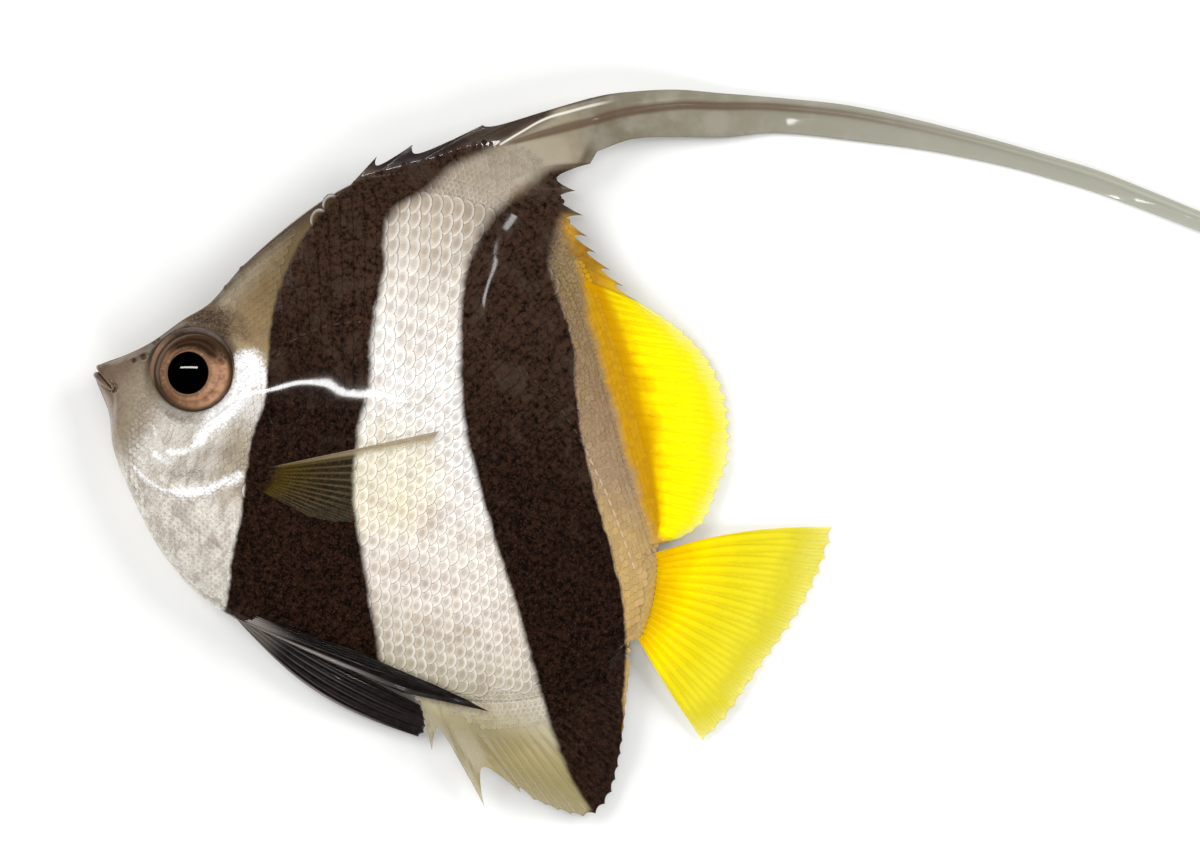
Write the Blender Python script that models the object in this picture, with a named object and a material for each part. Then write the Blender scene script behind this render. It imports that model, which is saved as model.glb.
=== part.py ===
# Bannerfish, life size, lying on its right flank with its left flank up, in named pieces.
#
# Plan coordinates are millimetres in the fish's own middle plane: u runs back from the snout tip
# along the body's axis, and v runs up towards the back. The plan is turned so that the nose
# points up and to the left of the frame. Heights are millimetres above the floor.
# The rear of the fish bends down from the body, so that its tail fin and banner lie on the floor.

import math

import bmesh
import bpy
from mathutils import Matrix, Vector

MM = 0.001

# Driving dimensions
NOSE_UP_DEG = 21.5           # turn of the body's axis against the frame's X axis
REST_POINT = (27.0, 5.0)     # plan point of the flank that lies over the frame's origin
MID_HEIGHT = 5.25            # height of the body's middle plane where the flank rests
GAP = 0.3                    # clearance between neighbouring pieces
STATION_END = 59.15          # last station of the body, at the tail fin's base

# Outline of the body without fins, as (u, v)
BACK = [
    (0.3, 0.3), (0.9, 1.05), (2.0, 2.2), (4.1, 4.5), (6.4, 8.0), (8.2, 10.4), (9.8, 14.8),
    (12.8, 20.7), (15.3, 24.6), (17.3, 26.9), (19.5, 28.3), (23.1, 30.0), (29.2, 31.0),
    (36.5, 28.8), (40.2, 26.1), (45.0, 20.9), (49.4, 15.2), (53.8, 9.4), (58.4, 3.8),
]
BELLY = [
    (0.3, -0.3), (0.9, -1.1), (2.9, -3.5), (4.5, -6.5), (7.5, -9.8), (12.9, -14.5),
    (17.9, -17.1), (21.4, -17.9), (27.1, -18.3), (33.7, -18.6), (41.6, -18.2), (47.1, -17.0),
    (52.6, -14.6), (56.6, -11.2), (59.9, -5.5),
]
# How far each cross-section leans: its top sits this far ahead of its station, its foot behind
LEAN = [(0.3, 0.0), (9.0, 1.6), (17.75, 3.15), (30.0, 2.6), (45.0, 1.6), (59.15, 0.75)]
HALF_WIDTH = [
    (0.3, 0.75), (1.0, 1.25), (3.0, 2.15), (6.0, 3.2), (9.5, 4.1), (14.0, 4.7), (19.0, 5.1),
    (26.0, 5.75), (33.0, 5.4), (41.0, 4.3), (49.0, 3.15), (55.0, 2.35), (59.15, 1.8),
]
EDGE_HALF = [(0.3, 0.5), (5.0, 0.8), (17.0, 0.85), (40.0, 0.8), (59.15, 0.8)]

# Cuts between the body's pieces, as stations
GILL_STATION = 17.75
STALK_STATION = 55.0
GILL_COVER_RISE = 0.3        # the gill cover's edge stands this proud of the flank
GILL_COVER_RAMP = 2.2
HEAD_STATIONS = [0.3, 0.7, 1.2, 1.8, 2.5, 3.3, 4.1, 5.0, 6.0, 7.0, 8.0, 9.0, 10.0, 11.0, 12.1,
                 13.3, 14.5, 15.6, 16.5, 17.2]
TRUNK_RINGS = 25
STALK_RINGS = 4
SIDE_STEPS = 20              # steps from the belly's edge to the back's edge on one side

# The bend that lays the rear on the floor, along the frame's X axis, and the droop below the belly
BEND_START = 10.5
BEND_END = 43.5
FLOOR_LEVEL = 0.25           # middle height of a fin that lies on the floor
BELLY_DROOP = 2.2
BELLY_DROOP_START = 27.0
BELLY_DROOP_END = 40.0

# Eye
EYE_CENTRE = (9.4, 3.4)
EYE_TURN_DEG = 14.0          # forward turn of the eye's axis
EYE_SINK = 0.12              # depth of the eye's rim below the cheek
EYE_SEGMENTS = 26
EYE_PROFILE = [
    (0.9, 1.34), (1.75, 1.12), (1.95, 0.94), (2.9, 0.76), (3.6, 0.38), (4.02, -0.2),
    (3.6, -1.1), (2.4, -1.8),
]
EYE_FRONT = 1.42
EYE_BACK = -2.15
SOCKET_PROFILE = [(4.34, 3.0), (4.34, -0.25), (3.9, -1.35), (2.6, -2.15)]
SOCKET_FRONT = 3.0
SOCKET_BACK = -2.5
RIM_RADIUS = 4.62
RIM_THICKNESS = 0.42

# Mouth, nostrils and cheek
MOUTH_TIP = (0.05, 0.0)
MOUTH_CORNER = (2.2, -1.05)
MOUTH_HALF_WIDTH = 1.45
LIP_RADIUS = 0.46
LIP_CORNER_RADIUS = 0.24
LIP_SPREAD = 0.42            # half the distance between the lips' middle lines
MOUTH_SLIT = 0.3
NOSTRILS = [(4.1, 3.0), (3.35, 2.25)]
NOSTRIL_RADIUS = 0.34
CHEEK_RIDGE = [(15.3, 4.2), (16.4, 0.4), (16.5, -3.8), (14.9, -6.8), (12.2, -8.3), (9.3, -8.5),
               (7.3, -7.6)]
CHEEK_RIDGE_RADIUS = 0.4
CHEEK_RIDGE_SINK = 0.14

# Fins: half thicknesses
MEMBRANE_HALF = 0.25
RAY_ROOT_HALF = 0.46
RAY_TIP_HALF = 0.28
SPINE_ROOT_HALF = 0.7
SPINE_TIP_HALF = 0.26

# Spiny dorsal fin: where each spine leaves the back (u), and its tip (u, v)
DORSAL_SPINES = [
    (17.5, (18.4, 30.2)), (19.2, (21.3, 32.6)), (21.4, (27.1, 37.0)), (24.2, (36.5, 44.4)),
    (26.4, (38.5, 37.4)), (28.6, (38.1, 34.3)), (30.7, (39.7, 32.3)), (32.8, (40.9, 30.5)),
    (34.8, (42.3, 29.3)), (36.8, (44.3, 28.2)), (38.6, (46.1, 27.2)), (40.2, (48.2, 26.3)),
]
BANNER_SPINE = 3             # index of the long spine that carries the banner
BANNER_ROOT_FOOT = (38.7, 38.8)
DORSAL_ROWS = 6

# Banner: its leading and trailing edges, from the long spine's membrane to its tip
BANNER_LEADING = [
    (36.8, 44.5), (39.8, 46.0), (44.0, 47.7), (48.2, 48.9), (53.4, 50.5), (61.2, 52.6),
    (70.2, 54.0), (79.5, 55.0), (87.7, 55.6), (96.9, 55.5), (108.0, 54.8), (118.8, 53.6),
]
BANNER_TRAILING = [
    (39.0, 38.9), (41.6, 41.3), (45.8, 43.2), (49.9, 44.8), (54.7, 47.2), (62.4, 49.4),
    (71.2, 51.5), (80.3, 52.9), (88.7, 53.5), (97.4, 53.6), (108.3, 53.4), (119.0, 52.8),
]
BANNER_CUTS = [0.0, 0.26, 0.56, 1.0]   # shares of the banner's length where its pieces meet
BANNER_STEPS = [15, 15, 16]
BANNER_ACROSS = [0.0, 0.14, 0.3, 0.62, 1.0]
BANNER_HALVES = [0.3, 0.5, 0.3, 0.34, 0.25]

# Soft dorsal fin
SOFT_DORSAL_RAYS = 24
SOFT_DORSAL_ROOT = (41.2, 58.0)
SOFT_DORSAL_MARGIN = [
    (48.6, 25.9), (50.6, 25.9), (53.4, 25.2), (57.1, 23.4), (60.5, 19.6), (62.5, 13.9),
    (62.5, 8.9), (61.2, 6.3), (59.7, 5.0),
]
SOFT_DORSAL_ROWS = 5

# Tail fin
TAIL_RAYS = 17
TAIL_ROOT = [(59.0, 3.35), (59.6, -0.6), (60.3, -5.0)]
TAIL_MARGIN = [
    (74.6, 12.5), (75.0, 8.8), (74.8, 4.7), (74.0, 0.6), (73.1, -2.9), (72.3, -6.4),
    (71.5, -9.7), (70.3, -12.4),
]
TAIL_BOW = 0.9
TAIL_ROWS = 8

# Anal fin: where each spine leaves the belly (u), and its tip
ANAL_SPINES = [(42.1, (45.3, -23.1)), (43.7, (52.2, -26.4)), (45.4, (55.1, -23.8))]
ANAL_NOTCHES = [(46.3, -21.7), (51.1, -22.3)]
ANAL_RAYS = 18
ANAL_ROOT = (46.7, 59.0)
ANAL_MARGIN = [
    (56.6, -24.0), (59.4, -24.1), (61.4, -23.9), (62.8, -23.2), (63.6, -20.5), (63.3, -18.0),
    (62.5, -14.4), (61.5, -10.9), (60.6, -7.6),
]
ANAL_ROWS = 6

# Pectoral fins
PECTORAL_RAYS = 14
LEFT_PECTORAL_ROOT = [(19.75, -2.7), (20.15, -3.9), (20.35, -5.1)]
LEFT_PECTORAL_MARGIN = [
    (34.4, 7.0), (35.3, 4.2), (34.9, 1.2), (33.4, -1.6), (31.0, -3.9), (28.2, -5.2),
    (25.4, -5.7),
]
RIGHT_PECTORAL_ROOT = [(20.6, -6.3), (20.6, -7.4), (20.5, -8.5)]
RIGHT_PECTORAL_MARGIN = [
    (33.2, -9.8), (33.4, -12.0), (32.2, -14.2), (30.0, -15.8), (27.4, -16.4), (25.0, -15.6),
    (23.4, -13.9),
]
PECTORAL_ROWS = 5
PECTORAL_ROOT_HALF = 0.34
PECTORAL_TIP_HALF = 0.26

# Pelvic fins: the spine first, then the rays, as (root, tip)
LEFT_PELVIC = [
    ((22.8, -18.0), (40.4, -18.7)), ((22.9, -17.8), (49.2, -17.3)), ((23.0, -17.6), (46.6, -17.0)),
    ((23.1, -17.4), (43.4, -16.8)), ((23.2, -17.2), (39.6, -16.7)), ((23.3, -17.0), (35.0, -16.5)),
]
RIGHT_PELVIC = [
    ((23.2, -19.0), (43.5, -22.4)), ((23.3, -18.9), (43.8, -21.8)), ((23.4, -18.8), (43.5, -21.1)),
    ((23.5, -18.7), (43.1, -20.5)), ((23.6, -18.6), (42.6, -19.9)), ((23.7, -18.5), (42.1, -19.3)),
]
RIGHT_PELVIC_BOW = -1.9
PELVIC_ROWS = 9
PELVIC_ROOT_HALF = 0.42
RIGHT_PELVIC_DROP = 1.25     # how far its upper edge hangs below the middle plane
RIGHT_PELVIC_SLOPE = 0.45    # further drop for each millimetre below the belly's line
BELLY_LINE_V = -18.4

# Colours
WHITE_SKIN = (0.74, 0.72, 0.68, 1.0)
CHEEK_SILVER = (0.58, 0.55, 0.50, 1.0)
STALK_GREY = (0.52, 0.45, 0.38, 1.0)
FIN_BLACK = (0.025, 0.018, 0.015, 1.0)
FIN_YELLOW = (0.95, 0.75, 0.02, 1.0)
BANNER_GREY = (0.50, 0.49, 0.46, 1.0)
IRIS_BROWN = (0.30, 0.17, 0.10, 1.0)
PECTORAL_CLEAR = (0.66, 0.62, 0.42, 1.0)

TURN = math.radians(NOSE_UP_DEG)
BACK_AXIS = Vector((math.cos(TURN), -math.sin(TURN), 0.0))
UP_AXIS = Vector((math.sin(TURN), math.cos(TURN), 0.0))
REST_PLACE = BACK_AXIS * REST_POINT[0] + UP_AXIS * REST_POINT[1]


# Curves

def curve_through(points):
    """A smooth function through (x, y) points that doesn't overshoot them."""
    xs = [p[0] for p in points]
    ys = [p[1] for p in points]
    slopes = [(ys[i + 1] - ys[i]) / (xs[i + 1] - xs[i]) for i in range(len(xs) - 1)]
    tangents = [slopes[0]]
    for before, after in zip(slopes, slopes[1:]):
        same_way = before * after > 0
        tangents.append(2 * before * after / (before + after) if same_way else 0.0)
    tangents.append(slopes[-1])

    def value(x):
        x = min(max(x, xs[0]), xs[-1])
        i = max(k for k in range(len(xs) - 1) if xs[k] <= x)
        step = xs[i + 1] - xs[i]
        t = (x - xs[i]) / step
        rise = (2 * t**3 - 3 * t**2 + 1) * ys[i] + (3 * t**2 - 2 * t**3) * ys[i + 1]
        return rise + step * ((t**3 - 2 * t**2 + t) * tangents[i] + (t**3 - t**2) * tangents[i + 1])

    return value


def path_through(points):
    """A smooth path through (u, v) points: a share of its length, 0 to 1, gives a point."""
    reach = [0.0]
    for a, b in zip(points, points[1:]):
        reach.append(reach[-1] + math.dist(a, b))
    across = curve_through(list(zip(reach, [p[0] for p in points])))
    along = curve_through(list(zip(reach, [p[1] for p in points])))
    return lambda share: (across(share * reach[-1]), along(share * reach[-1]))


def ease(t):
    """0 to 1 with a soft start and a soft end."""
    t = min(max(t, 0.0), 1.0)
    return t * t * (3 - 2 * t)


def blend(a, b, share):
    return tuple(p + (q - p) * share for p, q in zip(a, b))


back_line = curve_through(BACK)
belly_line = curve_through(BELLY)
lean_at = curve_through(LEAN)
half_width_at = curve_through(HALF_WIDTH)
edge_half_at = curve_through(EDGE_HALF)


# Body surface

def place(u, v):
    """A plan point in the frame's XY plane, in millimetres from the resting point."""
    spot = BACK_AXIS * u + UP_AXIS * v - REST_PLACE
    return spot.x, spot.y


def mid_height(u, v):
    """Height of the fish's middle plane above the floor."""
    x, y = place(u, v)
    bend = (MID_HEIGHT - FLOOR_LEVEL) * ease((x - BEND_START) / (BEND_END - BEND_START))
    span = BELLY_DROOP_END - BELLY_DROOP_START
    droop = BELLY_DROOP * ease((-y - BELLY_DROOP_START) / span)
    return max(MID_HEIGHT - bend - droop, FLOOR_LEVEL)


def section_ends(station):
    """Plan points of a cross-section's foot on the belly and top on the back."""
    lean = lean_at(station)
    top, foot = station - lean, station + lean
    return (foot, belly_line(foot)), (top, back_line(top))


def half_at(station, s):
    """Half thickness of the body on a cross-section, at s from -1 at the belly to 1 at the back."""
    fullness = (1 - abs(s) ** 1.75) if s > 0 else (1 - abs(s) ** 2.2) ** 0.8
    edge = edge_half_at(station)
    rounding = math.sqrt(max(1 - s * s, 0.0)) ** 0.5
    return edge * rounding + (half_width_at(station) - edge) * fullness


def body_half(u, v):
    """Half thickness of the body at a plan point, and 0 outside its outline."""
    low, high = BACK[0][0], STATION_END
    for _ in range(30):
        station = (low + high) / 2
        foot, top = section_ends(station)
        share = (v - foot[1]) / (top[1] - foot[1])
        if foot[0] + (top[0] - foot[0]) * share < u:
            low = station
        else:
            high = station
    return half_at(station, 2 * share - 1) if 0 < share < 1 else 0.0


def body_ring(station, rise=0.0):
    """A closed ring of points round the body: up the left side, then down the right side."""
    foot, top = section_ends(station)
    left, right = [], []
    for step in range(SIDE_STEPS + 1):
        s = math.sin(math.pi * (step / SIDE_STEPS - 0.5))
        u, v = blend(foot, top, (s + 1) / 2)
        x, y = place(u, v)
        half = half_at(station, s) + rise * (1 - s * s)
        middle = mid_height(u, v)
        left.append((x, y, middle + half))
        right.append((x, y, max(middle - half, 0.0)))
    return left + right[-2:0:-1]


# Mesh makers

def mesh_object(name, points, faces):
    mesh = bpy.data.meshes.new(name)
    mesh.from_pydata([[c * MM for c in p] for p in points], [], faces)
    made = bpy.data.objects.new(name, mesh)
    bpy.context.scene.collection.objects.link(made)
    return made


def loft(name, rings):
    """A closed body through rings from body_ring, each end closed by strips across it."""
    size = len(rings[0])
    half = size // 2
    points = [p for ring in rings for p in ring]
    faces = []
    for row in range(len(rings) - 1):
        for i in range(size):
            a, b = row * size + i, row * size + (i + 1) % size
            faces += [(a, b, b + size), (a, b + size, a + size)]
    for start, flip in ((0, False), ((len(rings) - 1) * size, True)):
        strip = []
        for i in range(half):
            a, b = start + i, start + i + 1
            c, d = start + (size - i - 1) % size, start + (size - i) % size
            strip += [(a, d, c), (a, c, b)] if i else [(a, c, b)]
        strip = [f for f in strip if len(set(f)) == 3]
        faces += [f[::-1] for f in strip] if flip else strip
    return mesh_object(name, points, faces)


def lathe(name, profile, front, back, segments, frame):
    """A turned body about the local Z axis, closed by a point at each end, set by a matrix."""
    points = [(0.0, 0.0, front)]
    for radius, height in profile:
        for k in range(segments):
            angle = 2 * math.pi * k / segments
            points.append((radius * math.cos(angle), radius * math.sin(angle), height))
    points.append((0.0, 0.0, back))
    faces = [(0, 1 + k, 1 + (k + 1) % segments) for k in range(segments)]
    for row in range(len(profile) - 1):
        first = 1 + row * segments
        for k in range(segments):
            a, b = first + k, first + (k + 1) % segments
            faces.append((a, a + segments, b + segments, b))
    last = len(points) - 1
    first = last - segments
    faces += [(last, first + (k + 1) % segments, first + k) for k in range(segments)]
    return mesh_object(name, [frame @ Vector(p) for p in points], faces)


def tube(name, path, radii, sides=8):
    """A closed round tube through frame points, in millimetres."""
    spots = [Vector(p) for p in path]
    points, faces = [], []
    for i, spot in enumerate(spots):
        ahead = spots[min(i + 1, len(spots) - 1)] - spots[max(i - 1, 0)]
        across = ahead.cross(Vector((0.13, 0.31, 0.94))).normalized()
        over = across.cross(ahead).normalized()
        for k in range(sides):
            angle = 2 * math.pi * k / sides
            points.append(spot + (across * math.cos(angle) + over * math.sin(angle)) * radii[i])
    for row in range(len(spots) - 1):
        for k in range(sides):
            a, b = row * sides + k, row * sides + (k + 1) % sides
            faces.append((a, b, b + sides, a + sides))
    faces.append(tuple(range(sides))[::-1])
    faces.append(tuple(range(len(points) - sides, len(points))))
    made = mesh_object(name, points, faces)
    face_outwards(made.data)
    return made


def ring_band(name, radius, thickness, segments, sides, frame):
    """A closed ring, such as the rim of an eye socket."""
    points, faces = [], []
    for i in range(segments):
        turn = 2 * math.pi * i / segments
        for k in range(sides):
            angle = 2 * math.pi * k / sides
            reach = radius + thickness * math.cos(angle)
            spot = (reach * math.cos(turn), reach * math.sin(turn), thickness * math.sin(angle))
            points.append(frame @ Vector(spot))
    for i in range(segments):
        for k in range(sides):
            a, b = i * sides + k, i * sides + (k + 1) % sides
            c, d = (a + sides) % len(points), (b + sides) % len(points)
            faces.append((a, c, d, b))
    made = mesh_object(name, points, faces)
    face_outwards(made.data)
    return made


def face_outwards(mesh):
    work = bmesh.new()
    work.from_mesh(mesh)
    bmesh.ops.recalc_face_normals(work, faces=work.faces)
    work.to_mesh(mesh)
    work.free()


def keep_largest(mesh):
    """Drops every closed surface but the largest."""
    work = bmesh.new()
    work.from_mesh(mesh)
    unseen = set(work.verts)
    groups = []
    while unseen:
        group, edge = set(), {unseen.pop()}
        while edge:
            vert = edge.pop()
            group.add(vert)
            linked = {e.other_vert(vert) for e in vert.link_edges} - group
            edge |= linked
        unseen -= group
        groups.append(group)
    groups.sort(key=len)
    for group in groups[:-1]:
        bmesh.ops.delete(work, geom=list(group), context="VERTS")
    work.to_mesh(mesh)
    work.free()


def combine(body, pieces, operation):
    """Joins the pieces to the body, or cuts them from it, and applies the result."""
    helpers = bpy.data.collections.new(body.name + "_helpers")
    for piece in pieces:
        helpers.objects.link(piece)
    change = body.modifiers.new(operation.lower(), "BOOLEAN")
    change.operation = operation
    change.operand_type = "COLLECTION"
    change.collection = helpers
    change.solver = "EXACT"
    bpy.context.view_layer.update()
    graph = bpy.context.evaluated_depsgraph_get()
    result = bpy.data.meshes.new_from_object(body.evaluated_get(graph))
    body.modifiers.clear()
    body.data = result
    for piece in pieces:
        bpy.data.objects.remove(piece)
    bpy.data.collections.remove(helpers)
    keep_largest(body.data)


def finish(made, colour, roughness, metallic=0.0):
    """Gives a piece its material and smooth shading."""
    material = bpy.data.materials.new(made.name)
    material.use_nodes = True
    shader = material.node_tree.nodes["Principled BSDF"]
    shader.inputs["Base Color"].default_value = colour
    shader.inputs["Roughness"].default_value = roughness
    shader.inputs["Metallic"].default_value = metallic
    made.data.materials.clear()
    made.data.materials.append(material)
    made.data.shade_smooth()
    made.data.set_sharp_from_angle(angle=math.radians(40))
    return made


# Fins

def root_point(line, u, outward):
    """A point a gap's width outside the body's outline, on the back (1) or the belly (-1)."""
    step = 0.2
    slope = (line(u + step) - line(u - step)) / (2 * step)
    length = math.hypot(1.0, slope)
    reach = GAP + 0.05
    return u - outward * slope / length * reach, line(u) + outward * reach / length


def ray(root, tip, root_half, tip_half, bow=0.0):
    """One line of a fin, from its root to its tip: a ray's ridge, or the membrane between."""
    return {"root": root, "tip": tip, "root_half": root_half, "tip_half": tip_half, "bow": bow}


def with_membranes(rays, notch, places=None):
    """Puts a membrane line between each two rays. notch is how far its end draws back."""
    lines = [rays[0]]
    for i, (a, b) in enumerate(zip(rays, rays[1:])):
        root = blend(a["root"], b["root"], 0.5)
        tip = blend(a["tip"], b["tip"], 0.5)
        tip = (places or {}).get(i) or blend(tip, root, notch)
        bow = (a["bow"] + b["bow"]) / 2
        lines += [ray(root, tip, MEMBRANE_HALF, MEMBRANE_HALF, bow), b]
    return lines


def line_point(line, share):
    u, v = blend(line["root"], line["tip"], share)
    du, dv = line["tip"][0] - line["root"][0], line["tip"][1] - line["root"][1]
    length = math.hypot(du, dv)
    bulge = line["bow"] * math.sin(math.pi * share)
    return u - dv / length * bulge, v + du / length * bulge


def blade(name, tops, feet, count):
    """A thin closed blade from its upper and lower points, given in rows of count points.
    Both faces are split into triangles along the same diagonals."""
    under = len(tops)
    rows = under // count - 1
    faces = []
    for row in range(rows):
        for i in range(count - 1):
            a = row * count + i
            b, c, d = a + 1, a + count + 1, a + count
            for face in ((a, b, c), (a, c, d)):
                faces += [face, tuple(k + under for k in reversed(face))]
    border = list(range(count))
    border += [row * count + count - 1 for row in range(1, rows + 1)]
    border += [under - 1 - i for i in range(1, count)]
    border += [row * count for row in range(rows - 1, 0, -1)]
    for a, b in zip(border, border[1:] + border[:1]):
        faces += [(b, a, a + under), (b, a + under, b + under)]
    made = mesh_object(name, tops + feet, faces)
    face_outwards(made.data)
    return made


def fin_blade(name, lines, rows, height=mid_height):
    """A fin over its lines, with each ray raised as a ridge on both faces."""
    tops, feet = [], []
    for row in range(rows + 1):
        share = row / rows
        for line in lines:
            u, v = line_point(line, share)
            x, y = place(u, v)
            half = line["root_half"] + (line["tip_half"] - line["root_half"]) * share
            middle = height(u, v)
            tops.append((x, y, middle + half))
            feet.append((x, y, max(middle - half, 0.0)))
    return blade(name, tops, feet, len(lines))


def spiny_dorsal_fin():
    """The twelve spines and their membrane, up to where the banner leaves the long spine."""
    spines = []
    for u, tip in DORSAL_SPINES:
        root = root_point(back_line, u, 1)
        spines.append(ray(root, tip, SPINE_ROOT_HALF, SPINE_TIP_HALF))
    front = with_membranes(spines[:BANNER_SPINE], 0.42)
    long_spine, next_spine = spines[BANNER_SPINE], spines[BANNER_SPINE + 1]
    long_spine["tip_half"] = 0.46
    between = blend(spines[BANNER_SPINE - 1]["root"], long_spine["root"], 0.5)
    lines = front + [ray(between, (30.4, 37.4), MEMBRANE_HALF, MEMBRANE_HALF), long_spine]
    for k in range(1, 4):
        share = k / 4
        root = blend(long_spine["root"], next_spine["root"], share)
        tip = blend(long_spine["tip"], BANNER_ROOT_FOOT, share)
        lines.append(ray(root, tip, MEMBRANE_HALF + 0.06, MEMBRANE_HALF + 0.06))
    root = blend(long_spine["root"], next_spine["root"], 0.88)
    lines.append(ray(root, BANNER_ROOT_FOOT, MEMBRANE_HALF, MEMBRANE_HALF))
    lines += with_membranes(spines[BANNER_SPINE + 1:], 0.2)
    return fin_blade("dorsal_fin_spines", lines, DORSAL_ROWS)


def banner_piece(name, first, last, steps):
    """A length of the banner: a tapering ribbon with the long spine near its leading edge."""
    leading, trailing = path_through(BANNER_LEADING), path_through(BANNER_TRAILING)
    length = sum(math.dist(a, b) for a, b in zip(BANNER_LEADING, BANNER_LEADING[1:]))
    inset = (GAP + 0.02) / 2 / length
    start = first + (inset if first > 0 else 0.0)
    end = last - (inset if last < 1 else 0.0)
    tops, feet = [], []
    for step in range(steps + 1):
        share = start + (end - start) * step / steps
        for across, full_half in zip(BANNER_ACROSS, BANNER_HALVES):
            u, v = blend(leading(share), trailing(share), across)
            x, y = place(u, v)
            half = MEMBRANE_HALF + (full_half - MEMBRANE_HALF) * (1 - 0.6 * share)
            middle = mid_height(u, v)
            tops.append((x, y, middle + half))
            feet.append((x, y, max(middle - half, 0.0)))
    return blade(name, tops, feet, len(BANNER_ACROSS))


def soft_dorsal_fin():
    margin = path_through(SOFT_DORSAL_MARGIN)
    rays = []
    for k in range(SOFT_DORSAL_RAYS):
        share = k / (SOFT_DORSAL_RAYS - 1)
        u = SOFT_DORSAL_ROOT[0] + (SOFT_DORSAL_ROOT[1] - SOFT_DORSAL_ROOT[0]) * share
        root = root_point(back_line, u, 1)
        rays.append(ray(root, margin(share), RAY_ROOT_HALF, RAY_TIP_HALF))
    return fin_blade("dorsal_fin_soft", with_membranes(rays, 0.03), SOFT_DORSAL_ROWS)


def tail_fin():
    root, margin = path_through(TAIL_ROOT), path_through(TAIL_MARGIN)
    rays = []
    for k in range(TAIL_RAYS):
        share = k / (TAIL_RAYS - 1)
        bow = TAIL_BOW * (1 - 1.2 * share)
        rays.append(ray(root(share), margin(share), RAY_ROOT_HALF, RAY_TIP_HALF, bow))
    return fin_blade("tail_fin", with_membranes(rays, 0.01), TAIL_ROWS)


def anal_fin():
    margin = path_through(ANAL_MARGIN)
    rays = []
    for u, tip in ANAL_SPINES:
        rays.append(ray(root_point(belly_line, u, -1), tip, SPINE_ROOT_HALF, SPINE_TIP_HALF))
    for k in range(ANAL_RAYS):
        share = k / (ANAL_RAYS - 1)
        u = ANAL_ROOT[0] + (ANAL_ROOT[1] - ANAL_ROOT[0]) * share
        root = root_point(belly_line, u, -1)
        rays.append(ray(root, margin(share), RAY_ROOT_HALF, RAY_TIP_HALF))
    lines = with_membranes(rays, 0.01, dict(enumerate(ANAL_NOTCHES)))
    return fin_blade("anal_fin", lines, ANAL_ROWS)


def over_flank(u, v):
    """Middle height of a fin that lies on the left flank."""
    return mid_height(u, v) + max(body_half(u, v), 0.5) + GAP + PELVIC_ROOT_HALF + 0.12


def fan(root_points, margin_points, count):
    root, margin = path_through(root_points), path_through(margin_points)
    rays = []
    for k in range(count):
        share = k / (count - 1)
        rays.append(ray(root(share), margin(share), PECTORAL_ROOT_HALF, PECTORAL_TIP_HALF))
    return with_membranes(rays, 0.02)


def pectoral_fins():
    """The left fin lies back along the flank, and the right one is folded down on the floor."""
    left = fan(LEFT_PECTORAL_ROOT, LEFT_PECTORAL_MARGIN, PECTORAL_RAYS)
    right = fan(RIGHT_PECTORAL_ROOT, RIGHT_PECTORAL_MARGIN, PECTORAL_RAYS)

    def on_floor(u, v):
        return FLOOR_LEVEL

    return [fin_blade("pectoral_fin_left", left, PECTORAL_ROWS, over_flank),
            fin_blade("pectoral_fin_right", right, PECTORAL_ROWS, on_floor)]


def pelvic_fins():
    """The left fin is closed along the belly, and the right one hangs half open beyond it."""
    left = [ray(a, b, PELVIC_ROOT_HALF, MEMBRANE_HALF) for a, b in LEFT_PELVIC]
    right = [ray(a, b, PELVIC_ROOT_HALF, MEMBRANE_HALF, RIGHT_PELVIC_BOW * (1 - 0.19 * k))
             for k, (a, b) in enumerate(RIGHT_PELVIC)]

    def below_belly(u, v):
        drop = RIGHT_PELVIC_DROP + RIGHT_PELVIC_SLOPE * max(BELLY_LINE_V - v, 0.0)
        return mid_height(u, v) - drop

    return [fin_blade("pelvic_fin_left", with_membranes(left, 0.0), PELVIC_ROWS, over_flank),
            fin_blade("pelvic_fin_right", with_membranes(right, 0.0), PELVIC_ROWS, below_belly)]


# Head

def side_frame(u, v, side, sink=0.0, turn_deg=0.0):
    """A matrix whose Z axis points out of the left (1) or right (-1) cheek at a plan point."""
    x, y = place(u, v)
    z = mid_height(u, v) + side * (body_half(u, v) - sink)
    turn = math.radians(turn_deg)
    out = Vector((0, 0, side * math.cos(turn))) - BACK_AXIS * math.sin(turn)
    across = UP_AXIS.cross(out).normalized()
    return Matrix.Translation((x, y, z)) @ Matrix((across, UP_AXIS, out)).transposed().to_4x4()


def lip(name, offset):
    """A lip that runs from one corner of the mouth round the tip to the other."""
    steps = 12
    path, radii = [], []
    for k in range(steps + 1):
        swing = math.pi / 2 * (2 * k / steps - 1)
        back = 1 - math.cos(swing)
        u = MOUTH_TIP[0] + LIP_RADIUS + (MOUTH_CORNER[0] - MOUTH_TIP[0] - LIP_RADIUS) * back
        v = MOUTH_TIP[1] + (MOUTH_CORNER[1] - MOUTH_TIP[1]) * back + offset * (1 - 0.45 * back)
        x, y = place(u, v)
        path.append((x, y, MID_HEIGHT + MOUTH_HALF_WIDTH * math.sin(swing)))
        radii.append(LIP_RADIUS + (LIP_CORNER_RADIUS - LIP_RADIUS) * back)
    return tube(name, path, radii)


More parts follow.
